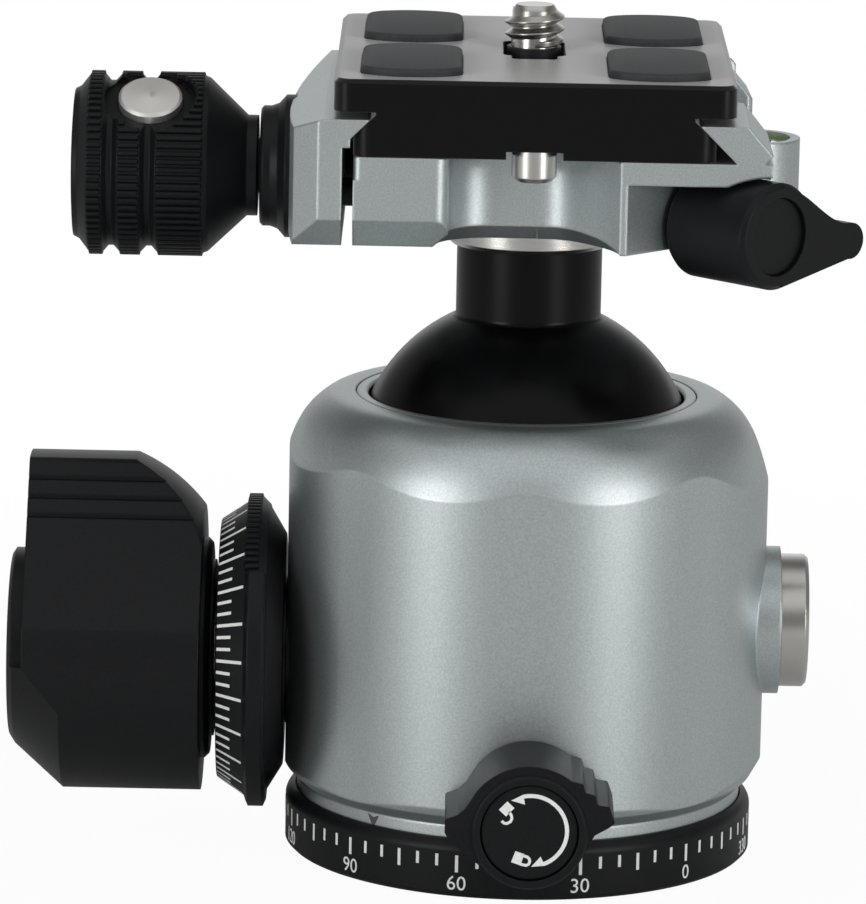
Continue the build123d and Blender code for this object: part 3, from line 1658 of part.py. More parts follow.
with BuildPart() as screw_washer:
    turned(
        [
            (screw_neck_radius + running_gap, channel_top_z - slide_gap - screw_washer_height),
            (screw_head_radius, channel_top_z - slide_gap - screw_washer_height),
            (screw_head_radius, channel_top_z - slide_gap),
            (screw_sleeve_radius, channel_top_z - slide_gap),
            (screw_sleeve_radius, plate_top_z + 0.3),
            (screw_neck_radius + running_gap, plate_top_z + 0.3),
        ]
    )
finish(screw_washer, "screw_washer")

with BuildPart() as camera_screw:
    head_top = channel_top_z - 2 * slide_gap - screw_washer_height
    turned(
        [
            (0, head_top - screw_head_height),
            (screw_head_radius - 0.4, head_top - screw_head_height),
            (screw_head_radius, head_top - screw_head_height + 0.4),
            (screw_head_radius, head_top),
            (screw_neck_radius, head_top),
            (screw_neck_radius, screw_thread_z),
            (screw_thread_radius, screw_thread_z + 0.5),
            (screw_thread_radius, screw_top_z - 0.7),
            (screw_thread_radius - 0.7, screw_top_z),
            (0, screw_top_z),
        ]
    )
    with BuildSketch(Plane.XY.offset(head_top - screw_head_height)):
        Rectangle(2 * screw_head_radius + 1, 1.2)
    extrude(amount=1.2, mode=Mode.SUBTRACT)
finish(camera_screw, "camera_screw")
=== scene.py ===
"""Finishes, markings, knurls, threads and stage for the tripod ball head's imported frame.

The frame is in metres. New pieces are modelled here in millimetres and scaled as they are finished.
"""

from math import atan2, copysign, cos, pi, radians, sin, sqrt

import bmesh
import bpy
from bpy.props import FloatProperty, FloatVectorProperty, IntProperty, PointerProperty
from mathutils import Matrix, Vector
from mathutils.geometry import interpolate_bezier


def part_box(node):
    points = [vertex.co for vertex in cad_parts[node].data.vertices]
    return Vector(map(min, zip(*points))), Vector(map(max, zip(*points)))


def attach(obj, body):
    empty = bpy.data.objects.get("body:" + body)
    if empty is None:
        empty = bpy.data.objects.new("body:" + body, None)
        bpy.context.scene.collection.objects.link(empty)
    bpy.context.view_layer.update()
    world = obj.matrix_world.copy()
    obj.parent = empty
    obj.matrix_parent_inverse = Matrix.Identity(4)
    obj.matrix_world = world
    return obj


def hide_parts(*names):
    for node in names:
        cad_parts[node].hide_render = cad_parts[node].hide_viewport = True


bl_info = {
    "name": "Tripod ball head",
    "version": (1, 0, 0),
    "blender": (4, 5, 0),
    "location": "View3D > Sidebar > Ball head",
    "description": "Dresses the packed model of a tripod ball head",
    "category": "Object",
}

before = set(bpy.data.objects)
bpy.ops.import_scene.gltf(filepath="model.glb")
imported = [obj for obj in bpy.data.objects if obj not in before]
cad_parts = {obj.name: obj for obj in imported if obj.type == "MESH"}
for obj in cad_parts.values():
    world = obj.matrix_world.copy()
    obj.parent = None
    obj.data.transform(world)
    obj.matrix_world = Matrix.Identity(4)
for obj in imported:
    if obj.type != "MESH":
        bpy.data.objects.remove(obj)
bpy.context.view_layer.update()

MM = 0.001
UP = (0, 0, 1)
LEFT = (-1, 0, 0)
FRONT = (0, -1, 0)
SHARP = 35  # degrees: edges that turn by more are drawn sharp
SHARP_RIBS = 20
PAST = 0.3  # how far a cutting tool reaches past the faces that it cuts
SUNK = 0.15  # how deep the feet of the ribs stand in their rims

# places on the solids, in millimetres
DIAL_RADIUS = 25.3
DIAL_TOP = 5.0
DIAL_ZERO = 45  # degrees from the front round to the dial's 0
NUMBER_GAP = 0.4
PROUD = 0.03  # half the thickness of the marks on the pan dial
INDEX_RADIUS = 24.1
INDEX_PLACE = (-40, 7.0)  # degrees from the front, height
LOCK_Z = 21.25
CONE_START = (32.6, 14.07)  # distance out along the lock's axis, radius
CONE_END = (29.6, 16.1)
CONE_MARKS = (1.8, 3.3)  # lengths of the short and long marks
CONE_ZERO = 7.5
RIM_SPAN = (28.2, 29.85)
RIM_ROOT = 16.5
RIM_TIP = 16.85
RIM_RIB = (0.7, 0.4)  # widths of a rib's foot and crest
THUMB_START = 48
THUMB_ARC = 150
CLAMP_Z = 74.4
CLAMP_RIMS = ((35.0, 39.95), (41.7, 44.0), (45.7, 47.3))
CLAMP_ROOT = 9.5
CLAMP_TIP = 9.85
CLAMP_RIB = (0.64, 0.36)  # widths of a rib's foot and crest
BUTTON_X = 40.7
BUTTON_LEAN = 30
BUTTON_SPOT = 4.85
PAN_KNOB = (0.9, 10.95)  # x and z of its axis
PAN_CAP_FACE = 36.85
SIGN_CENTRE = (0.12, 0.18)  # on the cap's face
SIGN_HALF = 0.05  # half the thickness of the sign
LEVEL = (24.2, 19.7)
PAD_PLACE = (12.9, 12.7)
PLATE_TOP = 87.6
BASE_SCREW = 2.25  # radius of a base screw's head
BASE_SHANK = 1.25
BASE_SOCKET = 1.08  # from the middle of a hexagon socket to its flats
# the recess under the front of the plate: rounded corner, foot chamfer and curved right wall
RECESS_CORNER = (-8.8, -17.0)
RECESS_ROUND = 4.8
RECESS_CHAMFER = 1.6
RECESS_TOP = 79.5
RECESS_WALL = (
    ((0.5, -17.0), (2.843, -17.0), (3.901, -18.309), (5.0, -19.6)),
    ((5.0, -19.6), (6.468, -21.324), (8.008, -23.017), (9.1, -25.2)),
)


# ---------------------------------------------------------------- materials
def linear(colour):
    """An sRGB hex value such as 8A9394 as linear red, green, blue and alpha."""
    parts = [int(colour[i : i + 2], 16) / 255 for i in (0, 2, 4)]
    red, green, blue = (c / 12.92 if c <= 0.04045 else ((c + 0.055) / 1.055) ** 2.4 for c in parts)
    return red, green, blue, 1.0


def add_node(tree, kind, settings=None, inputs=None):
    """Add a shader node, set its properties, and set or link its inputs."""
    node = tree.nodes.new("ShaderNode" + kind)
    for key, value in (settings or {}).items():
        setattr(node, key, value)
    for key, value in (inputs or {}).items():
        if isinstance(value, bpy.types.NodeSocket):
            tree.links.new(value, node.inputs[key])
        else:
            node.inputs[key].default_value = value
    return node


def material(name, principled, grain):
    """A material with one Principled shader. grain(tree) returns extra inputs for it."""
    made = bpy.data.materials.new(name)
    made.use_nodes = True
    tree = made.node_tree
    tree.nodes.clear()
    shader = add_node(tree, "BsdfPrincipled", None, {**principled, **grain(tree)})
    add_node(tree, "OutputMaterial", None, {"Surface": shader.outputs[0]})
    return made


def in_mm(tree, centre):
    """Object coordinates in millimetres, measured from a centre."""
    place = add_node(tree, "TexCoord").outputs["Object"]
    inputs = {"Vector": place, "Location": [-c for c in centre], "Scale": (1 / MM,) * 3}
    return add_node(tree, "Mapping", None, inputs).outputs[0]


def relief(tree, height, depth_mm, edge_mm):
    """A normal that carries a bump of the given depth over softly rounded edges."""
    edge = add_node(tree, "Bevel", {"samples": 6}, {"Radius": edge_mm * MM}).outputs[0]
    inputs = {"Strength": 1.0, "Distance": depth_mm * MM, "Height": height, "Normal": edge}
    return add_node(tree, "Bump", None, inputs).outputs[0]


def speckle(tree, colour, grain_mm, spread, depth_mm, edge_mm, centre=(0, 0, 0)):
    """Base colour that varies from grain to grain, and a bump of the same grain."""
    inputs = {"Vector": in_mm(tree, centre), "Scale": 1 / grain_mm, "Detail": 2.0, "Roughness": 0.6}
    noise = add_node(tree, "TexNoise", None, inputs).outputs[0]
    tone = add_node(tree, "ValToRGB", None, {"Fac": noise})
    stops = zip(tone.color_ramp.elements, (0.35, 0.65), (1 - spread, 1 + spread))
    for stop, place, share in stops:
        stop.position = place
        stop.color = tuple(c * share for c in colour[:3]) + (1.0,)
    return {"Base Color": tone.outputs[0], "Normal": relief(tree, noise, depth_mm, edge_mm)}


def turning(tree, centre, axis, pitch_mm, depth_mm, edge_mm):
    """Fine rings left by a lathe: a bump that follows the distance from the axis and along it."""
    where = in_mm(tree, centre)
    flat = [1 - abs(a) for a in axis]
    across = add_node(tree, "VectorMath", {"operation": "MULTIPLY"}, {0: where, 1: flat}).outputs[0]
    radius = add_node(tree, "VectorMath", {"operation": "LENGTH"}, {0: across}).outputs["Value"]
    along = add_node(tree, "VectorMath", {"operation": "DOT_PRODUCT"}, {0: where, 1: axis})
    reach = {0: radius, 1: along.outputs["Value"]}
    step = add_node(tree, "Math", {"operation": "ADD"}, reach).outputs[0]
    inputs = {"W": step, "Scale": 1 / pitch_mm, "Detail": 3.0}
    rings = add_node(tree, "TexNoise", {"noise_dimensions": "1D"}, inputs).outputs[0]
    return {"Normal": relief(tree, rings, depth_mm, edge_mm)}


def dress(finish, nodes):
    """Give CAD nodes a finish."""
    for name in nodes:
        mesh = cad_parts[name].data
        mesh.materials.clear()
        mesh.materials.append(finish)


# ---------------------------------------------------------------- forms
def frame_of(origin, direction):
    """Matrix from a local frame, whose z runs along direction and whose y is up, to the model's."""
    z = Vector(direction).normalized()
    x = Vector(UP).cross(z)
    x = x.normalized() if x.length > 1e-6 else Vector((1, 0, 0))
    turn = Matrix((x, z.cross(x), z)).transposed().to_4x4()
    return Matrix.Translation(origin) @ turn


def shell_of(face):
    """Every face that hangs together with a face."""
    shell = {face}
    todo = [face]
    while todo:
        for edge in todo.pop().edges:
            for near in edge.link_faces:
                if near not in shell:
                    shell.add(near)
                    todo.append(near)
    return shell


def turn_outward(bm):
    """Make the faces of every separate shell point out of the volume that it holds."""
    bmesh.ops.recalc_face_normals(bm, faces=bm.faces)
    left = set(bm.faces)
    while left:
        shell = shell_of(next(iter(left)))
        left -= shell
        volume = 0
        for face in shell:
            first, *others = (v.co for v in face.verts)
            volume += sum(first.dot(a.cross(b)) for a, b in zip(others, others[1:]))
        if volume < 0:
            bmesh.ops.reverse_faces(bm, faces=list(shell))


def turn_outline(bm, outline, origin=(0, 0, 0), steps=96):
    """Spin an outline of (radius, height) points a full turn about an upright axis."""
    corners = [bm.verts.new((r, 0, z)) for r, z in outline]
    edges = [bm.edges.new(pair) for pair in zip(corners, corners[1:])]
    made = bmesh.ops.spin(
        bm,
        geom=corners + edges,
        cent=(0, 0, 0),
        axis=UP,
        angle=2 * pi,
        steps=steps,
        use_merge=True,
    )
    first = next(v for v in made["geom_last"] if isinstance(v, bmesh.types.BMVert))
    verts = {v for face in shell_of(first.link_faces[0]) for v in face.verts}
    bmesh.ops.translate(bm, vec=origin, verts=list(verts))


def loft(bm, rings):
    """Extrude a face from ring to ring of points into one closed form, and return its last face."""
    face = bm.faces.new([bm.verts.new(point) for point in rings[0]])
    for ring in rings[1:]:
        made = bmesh.ops.extrude_face_region(bm, geom=[face, *face.edges])
        face = next(part for part in made["geom"] if isinstance(part, bmesh.types.BMFace))
        for vert, point in zip(face.verts, ring):
            vert.co = point
    return face


def sides(path):
    """Every point of a flat path, with the unit vector to the left of the way it runs."""
    for n, point in enumerate(path):
        run = path[min(n + 1, len(path) - 1)] - path[max(n - 1, 0)]
        yield point, Vector((-run.y, run.x)).normalized()


def block(bm, size, matrix):
    """A block of the given size, centred in the frame of a matrix."""
    made = bmesh.ops.create_cube(bm, size=1.0)
    bmesh.ops.transform(bm, matrix=matrix @ Matrix.Diagonal((*size, 1)), verts=made["verts"])
    return made["verts"]


def rib(bm, length, foot, crest, height, matrix):
    """A straight rib that narrows from its foot to its crest and slopes at both ends."""
    inverse = matrix.inverted()
    for v in block(bm, (foot, height, length), matrix):
        local = inverse @ v.co
        if local.y > 0:
            local.x *= crest / foot
            local.z *= 1 - 0.5 * height / length
            v.co = matrix @ local


def letters(bm, words, height, place):
    """Raised characters. place turns their x, y and a depth from 0 to 1 into a point."""
    curve = bpy.data.curves.new("letters", "FONT")
    curve.body = words
    curve.align_x = "CENTER"
    curve.resolution_u = 3
    curve.extrude = 0.5
    maker = bpy.data.objects.new("letters", curve)
    bpy.context.scene.collection.objects.link(maker)
    bpy.context.view_layer.update()
    graph = bpy.context.evaluated_depsgraph_get()
    mesh = bpy.data.meshes.new_from_object(maker.evaluated_get(graph))
    ys = [v.co.y for v in mesh.vertices]
    xs = [v.co.x for v in mesh.vertices]
    scale = height / (max(ys) - min(ys))
    middle = (max(xs) + min(xs)) / 2
    for v in mesh.vertices:
        v.co = place((v.co.x - middle) * scale, (v.co.y - min(ys)) * scale, v.co.z + 0.5)
    bm.from_mesh(mesh)
    bpy.data.objects.remove(maker)
    bpy.data.curves.remove(curve)
    bpy.data.meshes.remove(mesh)


def barrel(half_x, half_y, bulge, corner):
    """Outline points of a barrel shape: straight sides, bulged ends and rounded corners."""
    big = (half_x**2 + bulge**2) / (2 * bulge)
    across = half_x - corner
    rise = sqrt((big - corner) ** 2 - across**2)
    turn = atan2(rise, across)
    base = half_y - big
    quarter = []
    for n in range(8):
        t = turn * n / 8
        quarter.append((across + corner * cos(t), base + rise + corner * sin(t)))
    for n in range(13):
        t = turn + (pi / 2 - turn) * n / 12
        quarter.append((big * cos(t), base + big * sin(t)))
    half = quarter + [(-x, y) for x, y in reversed(quarter[:-1])]
    return half + [(-x, -y) for x, y in half]


def helix(bm, radii, widths, start, turns, pitch, begin=0.0, steps=40):
    """One closed thread ridge that climbs round the Z axis and runs out at both ends.

    radii and widths are each given for the ridge's foot and crest. The bmesh is still empty.
    """
    (foot_radius, crest_radius), (foot, crest) = radii, widths
    count = int(steps * turns)
    under = ((foot_radius, -foot / 2), (crest_radius, -crest / 2))
    outline = under + tuple((radius, -height) for radius, height in reversed(under))
    turn = Matrix.Rotation(begin, 3, "Z")
    corners = [bm.verts.new(turn @ Vector((radius, 0, start + z))) for radius, z in outline]
    face = bm.faces.new(corners)
    bmesh.ops.spin(
        bm,
        geom=[*corners, *face.edges, face],
        cent=(0, 0, 0),
        axis=UP,
        dvec=(0, 0, pitch / steps),
        angle=2 * pi * count / steps,
        steps=count,
    )
    # the corners are in order, ring by ring; towards both ends the ridge gets narrower and lower
    for index, v in enumerate(bm.verts):
        n = index // len(outline)
        from_end = min(n, count - n)
        share = min(1.0, 0.15 + from_end / 14)
        root = foot * min(1.0, 0.5 + from_end / 20)
        middle = start + pitch * n / steps
        reach = v.co.xy.length
        if abs(reach - foot_radius) < abs(reach - crest_radius):
            radius, width = foot_radius, root
        else:
            radius = foot_radius + (crest_radius - foot_radius) * share
            width = crest + (root - crest) * (1 - share) * 0.9
        v.co = (*(v.co.xy.normalized() * radius), middle + copysign(width / 2, v.co.z - middle))


# ---------------------------------------------------------------- pieces
def add_piece(name, bm, body, finish, replaces=(), sharp=SHARP):
    """Turn a bmesh in millimetres into a finished piece that rides on a CAD body."""
    bmesh.ops.remove_doubles(bm, verts=bm.verts, dist=0.0005)
    turn_outward(bm)
    bmesh.ops.scale(bm, vec=(MM,) * 3, verts=bm.verts)
    mesh = bpy.data.meshes.new(name)
    bm.to_mesh(mesh)
    bm.free()
    mesh.shade_smooth()
    mesh.set_sharp_from_angle(angle=radians(sharp))
    mesh.materials.append(finish)
    piece = bpy.data.objects.new(name, mesh)
    bpy.context.scene.collection.objects.link(piece)
    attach(piece, body)
    if replaces:
        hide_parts(*replaces)
    return piece


def carve(piece, bm, operation="DIFFERENCE"):
    """Cut a bmesh in millimetres out of a piece, or join it, and keep the result in its mesh."""
    turn_outward(bm)
    bmesh.ops.scale(bm, vec=(MM,) * 3, verts=bm.verts)
    tool_mesh = bpy.data.meshes.new("tool")
    bm.to_mesh(tool_mesh)
    bm.free()
    tool = bpy.data.objects.new("tool", tool_mesh)
    bpy.context.scene.collection.objects.link(tool)
    cut = piece.modifiers.new("cut", "BOOLEAN")
    cut.operation = operation
    cut.solver = "EXACT"
    cut.object = tool
    bpy.context.view_layer.update()
    graph = bpy.context.evaluated_depsgraph_get()
    result = bpy.data.meshes.new_from_object(piece.evaluated_get(graph))
    result.set_sharp_from_angle(angle=radians(SHARP))
    old = piece.data
    piece.modifiers.clear()
    piece.data = result
    bpy.data.meshes.remove(old)
    bpy.data.objects.remove(tool)
    bpy.data.meshes.remove(tool_mesh)


# ---------------------------------------------------------------- settings
class BallHeadSettings(bpy.types.PropertyGroup):
    grey: FloatVectorProperty(
        name="Grey",
        description="Colour of the grey anodised aluminium",
        subtype="COLOR",
        min=0.0,
        max=1.0,
        default=linear("BCC3C4")[:3],
    )
    black: FloatVectorProperty(
        name="Black",
        description="Colour of the black anodised aluminium",
        subtype="COLOR",
        min=0.0,
        max=1.0,
        default=linear("101113")[:3],
    )
    spirit: FloatVectorProperty(
        name="Spirit",
        description="Colour of the spirit level's fluid",
        subtype="COLOR",
        min=0.0,
        max=1.0,
        default=linear("DDF07A")[:3],
    )
    mark_width: FloatProperty(
        name="Mark width",
        description="Width of the marks on both dials",
        unit="LENGTH",
        precision=5,
        default=0.34 * MM,
        min=0.1 * MM,
        max=0.8 * MM,
    )
    mark_short: FloatProperty(
        name="Short mark",
        description="Height of a 5 degree mark on the pan dial",
        unit="LENGTH",
        precision=5,
        default=1.3 * MM,
    )
    mark_long: FloatProperty(
        name="Long mark",
        description="Height of a 15 degree mark on the pan dial",
        unit="LENGTH",
        precision=5,
        default=1.85 * MM,
    )
    number_height: FloatProperty(
        name="Number height",
        description="Height of the numbers on the pan dial",
        unit="LENGTH",
        precision=5,
        default=1.55 * MM,
    )
    knob_ribs: IntProperty(
        name="Clamp knob ribs",
        description="Ribs round each rim of the clamp knob",
        default=72,
        min=24,
        max=90,
    )
    dial_ribs: IntProperty(
        name="Friction dial ribs",
        description="Ribs in a full turn of the friction dial",
        default=124,
        min=60,
        max=180,
    )
    camera_pitch: FloatProperty(
        name="Camera thread pitch",
        description="Pitch of the 1/4 inch camera thread",
        unit="LENGTH",
        precision=5,
        default=1.27 * MM,
    )
    tripod_pitch: FloatProperty(
        name="Tripod thread pitch",
        description="Pitch of the 3/8 inch tripod thread",
        unit="LENGTH",
        precision=5,
        default=1.5875 * MM,
    )


FINISHES = {}


# ---------------------------------------------------------------- finishes
class BALLHEAD_OT_finishes(bpy.types.Operator):
    """Make every finish and give it to the CAD nodes that keep their own shape"""

    bl_idname = "ballhead.finishes"
    bl_label = "Finishes"

    def execute(self, context):
        sizes = context.scene.ball_head
        # key, name, colour, shader inputs, nodes, and the grain: its size, the spread of its tone,
        # its depth and the softness of the edges, with lengths in millimetres
        for key, name, colour, inputs, nodes, grain in (
            # aluminium blasted with fine beads, then anodised titanium grey: an even satin metal
            # with a faint glitter; the 0.2 mm grain is coarser than the real one so that it shows
            (
                "grey",
                "grey_anodised_aluminium",
                sizes.grey,
                {"Metallic": 1.0, "Roughness": 0.43},
                ("housing", "index_ring", "collar_ring", "moving_jaw"),
                (0.2, 0.1, 0.006, 0.4),
            ),
            # the same blasting under black dye: nearly no colour of its own, soft grey sheen
            (
                "black",
                "black_anodised_aluminium",
                sizes.black,
                {"Metallic": 0.0, "Roughness": 0.42, "Specular IOR Level": 0.2},
                (
                    *("base_plate", "pan_dial", "jaw_collar", "friction_dial", "pan_knob"),
                    *("pan_knob_cap", "lock_knob", "lock_knob_cap", "clamp_knob"),
                    *("clamp_knob_cap", "clamp_lever", "lever_cap"),
                ),
                (0.2, 0.25, 0.006, 0.25),
            ),
            # polished hard coat of the ball and stem: deep black, slightly soft reflections
            (
                "ball",
                "black_hard_coat",
                linear("040405"),
                {"Metallic": 0.0, "Roughness": 0.28, "Specular IOR Level": 0.15},
                ("ball",),
                (0.12, 0.2, 0.001, 0.2),
            ),
            # milled and black anodised plate: black seen squarely, with a grey bloom at low angles
            (
                "plate",
                "black_anodised_plate",
                linear("050506"),
                {
                    "Metallic": 0.0,
                    "Roughness": 0.3,
                    "Specular IOR Level": 0.14,
                    "Sheen Weight": 0.5,
                    "Sheen Roughness": 0.4,
                },
                ("qr_plate",),
                (0.15, 0.2, 0.003, 0.25),
            ),
            # blasted black rubber: no gloss, fine pimples
            (
                "rubber",
                "black_rubber",
                linear("36373A"),
                {"Metallic": 0.0, "Roughness": 0.62, "Specular IOR Level": 0.35},
                (),
                (0.3, 0.15, 0.03, 0.1),
            ),
            # black acetal of the bearing seats: dull, slightly waxy
            (
                "acetal",
                "black_acetal",
                linear("1B1B1C"),
                {"Metallic": 0.0, "Roughness": 0.5},
                ("seat_ring", "ball_cup", "pan_lock_pad", "screw_washer"),
                (0.4, 0.1, 0.004, 0.1),
            ),
            # black oxide on steel: dark, a little metallic
            (
                "oxide",
                "black_oxide_steel",
                linear("1C1C1D"),
                {"Metallic": 0.6, "Roughness": 0.42},
                ("clamp_bolt", "guide_pins", "lock_bushing"),
                (0.3, 0.15, 0.002, 0.1),
            ),
            # grey mark etched into the anodising: paler than black, without gloss
            (
                "etched",
                "grey_etched_mark",
                linear("4E5354"),
                {"Metallic": 0.3, "Roughness": 0.6},
                (),
                (0.2, 0.1, 0.003, 0.02),
            ),
            # white paint wiped into the engraving: flat and slightly uneven
            (
                "white",
                "white_engraving_paint",
                linear("E6E7E5"),
                {"Roughness": 0.55},
                (),
                (0.25, 0.06, 0.004, 0.02),
            ),
        ):
            FINISHES[key] = material(name, inputs, lambda t, c=colour, g=grain: speckle(t, c, *g))
            dress(FINISHES[key], nodes)

        # turned metals, with the lathe's rings about each piece's own axis: key, name, colour and
        # roughness, nodes, a point on the axis, the axis, and the rings' pitch, depth and edges
        steel = ("turned_stainless_steel_{}", "C4C2BE", 0.27)
        fine = (0.18, 0.006, 0.15)
        lean = radians(BUTTON_LEAN)
        upright = ("thread_insert", "stem_ring", "clamp_spindle", "clamp_cover")
        for key, (name, colour, rough), nodes, centre, axis, rings in (
            # stainless steel: bright and clear
            ("upright", steel, upright, (0, 0, 0), UP, fine),
            ("plug", steel, ("side_plug",), (0, 0, 25.6), (1, 0, 0), fine),
            ("lock", steel, ("pressure_shoe", "lock_bolt"), (0, 0, LOCK_Z), (1, 0, 0), fine),
            ("pan", steel, ("pan_lock_screw",), (PAN_KNOB[0], 0, PAN_KNOB[1]), (0, 1, 0), fine),
            ("lever", steel, ("lever_screw",), (0, 0, 72.1), (0.7071, -0.7071, 0), fine),
            ("pins", steel, ("stop_pins",), (0, 0, 0), UP, fine),
            # turned and polished end of the release button: brighter and softer than the bolts
            (
                "button",
                ("polished_{}", "E4E2DE", 0.46),
                ("press_button",),
                (-BUTTON_X, 0, CLAMP_Z),
                (0, -sin(lean), cos(lean)),
                fine,
            ),
            # machined aluminium inside the base: paler and duller, with coarser rings
            (
                "alloy",
                ("machined_aluminium", "B9BABB", 0.35),
                ("pan_spindle", "bearing_block", "bearing_ring"),
                (0, 0, 0),
                UP,
                (0.25, 0.008, 0.15),
            ),
            # tempered strip of the cup's spring: brownish grey
            (
                "spring",
                ("spring_steel", "8A8782", 0.3),
                ("cup_spring",),
                (0, 0, 0),
                UP,
                (0.3, 0.003, 0.1),
            ),
        ):
            FINISHES[key] = material(
                name.format(key),
                {"Base Color": linear(colour), "Metallic": 1.0, "Roughness": rough},
                lambda t, c=centre, a=axis, r=rings: turning(t, c, a, *r),
            )
            dress(FINISHES[key], nodes)
        return {"FINISHED"}


# ---------------------------------------------------------------- markings and ribs
class BALLHEAD_OT_pan_marks(bpy.types.Operator):
    """Degree marks and numbers round the pan dial, and the pointer on the index ring"""

    bl_idname = "ballhead.pan_marks"
    bl_label = "Pan dial marks"

    def execute(self, context):
        sizes = context.scene.ball_head
        width, number = sizes.mark_width / MM, sizes.number_height / MM
        short, long = sizes.mark_short / MM, sizes.mark_long / MM
        bm = bmesh.new()
        for degree in range(0, 360, 5):
            tall = short if degree % 15 else long
            turn = Matrix.Rotation(radians(degree), 4, "Z")
            at = Matrix.Translation((0, -DIAL_RADIUS, DIAL_TOP - tall / 2))
            block(bm, (width, 2 * PROUD, tall), turn @ at)
        for value in range(0, 360, 30):
            middle = radians(DIAL_ZERO - value)

            def on_dial(x, y, depth, middle=middle):
                angle = middle + x / DIAL_RADIUS
                out = DIAL_RADIUS + (2 * depth - 1) * PROUD
                z = DIAL_TOP - long - NUMBER_GAP - number + y
                return Vector((out * sin(angle), -out * cos(angle), z))

            letters(bm, str(value), number, on_dial)
        add_piece("pan_dial_marks", bm, "base", FINISHES["white"])

        bm = bmesh.new()
        arrow = ((-0.78, 0.72), (0, 0.42), (0.78, 0.72), (0, -0.72))
        loft(bm, [[(x, y, z) for x, z in arrow] for y in (-PROUD, PROUD)])
        degree, height = INDEX_PLACE
        turn = Matrix.Rotation(radians(degree), 4, "Z")
        at = Matrix.Translation((0, -INDEX_RADIUS, height))
        bmesh.ops.transform(bm, matrix=turn @ at, verts=bm.verts)
        add_piece("pan_index_pointer", bm, "shell", FINISHES["etched"])
        return {"FINISHED"}


class BALLHEAD_OT_friction_marks(bpy.types.Operator):
    """Degree marks on the friction dial's cone and the ribs round its rim"""

    bl_idname = "ballhead.friction_marks"
    bl_label = "Friction dial marks"

    def execute(self, context):
        sizes = context.scene.ball_head
        lock = frame_of((0, 0, LOCK_Z), LEFT)
        start, run = Vector(CONE_START), Vector(CONE_END) - Vector(CONE_START)
        lie = Matrix.Rotation(atan2(run.y, -run.x), 4, "X")
        bm = bmesh.new()
        for degree in range(0, 360, 5):
            length = CONE_MARKS[degree % 15 == 0]
            turn = Matrix.Rotation(radians(degree + CONE_ZERO), 4, "Z")
            out, radius = start + run.normalized() * length / 2
            at = Matrix.Translation((0, radius, out))
            block(bm, (sizes.mark_width / MM, 0.05, length), lock @ turn @ at @ lie)
        add_piece("friction_dial_marks", bm, "friction", FINISHES["white"])

        bm = bmesh.new()
        near, far = RIM_SPAN
        height = RIM_TIP - RIM_ROOT + SUNK
        at = Matrix.Translation((0, RIM_TIP - height / 2, (near + far) / 2))
        step = 360 / sizes.dial_ribs
        # the thumb rest has no ribs
        for n in range(int((360 - THUMB_ARC) / step - 2) + 1):
            turn = Matrix.Rotation(radians(step + n * step - THUMB_START), 4, "Z")
            rib(bm, far - near, *RIM_RIB, height, lock @ turn @ at)
        finish = FINISHES["black"]
        add_piece("friction_dial_ribs", bm, "friction", finish, (), SHARP_RIBS)
        return {"FINISHED"}


class BALLHEAD_OT_clamp_ribs(bpy.types.Operator):
    """Ribs round the three rims of the clamp knob, cut short beside the release button"""

    bl_idname = "ballhead.clamp_ribs"
    bl_label = "Clamp knob ribs"

    def execute(self, context):
        count = context.scene.ball_head.knob_ribs
        axis = frame_of((0, 0, CLAMP_Z), LEFT)
        height = CLAMP_TIP - CLAMP_ROOT + SUNK
        bm = bmesh.new()
        for n in range(count):
            degree = 360 * n / count
            turn = Matrix.Rotation(radians(degree), 4, "Z")
            off = radians(degree + BUTTON_LEAN)
            across = abs(CLAMP_TIP * sin(off))
            spot = 0  # half the length that the button's spot takes out of this line of ribs
            if cos(off) > 0 and across < BUTTON_SPOT:
                spot = sqrt(BUTTON_SPOT**2 - across**2) + 0.05
            for near, far in CLAMP_RIMS:
                if spot and near < BUTTON_X:
                    far = min(far, BUTTON_X - spot)
                elif spot:
                    near = max(near, BUTTON_X + spot)
                if far - near > 0.3:
                    at = Matrix.Translation((0, CLAMP_TIP - height / 2, (near + far) / 2))
                    rib(bm, far - near, *CLAMP_RIB, height, axis @ turn @ at)
        finish = FINISHES["black"]
        add_piece("clamp_knob_ribs", bm, "clamp_knob_set", finish, (), SHARP_RIBS)
        return {"FINISHED"}


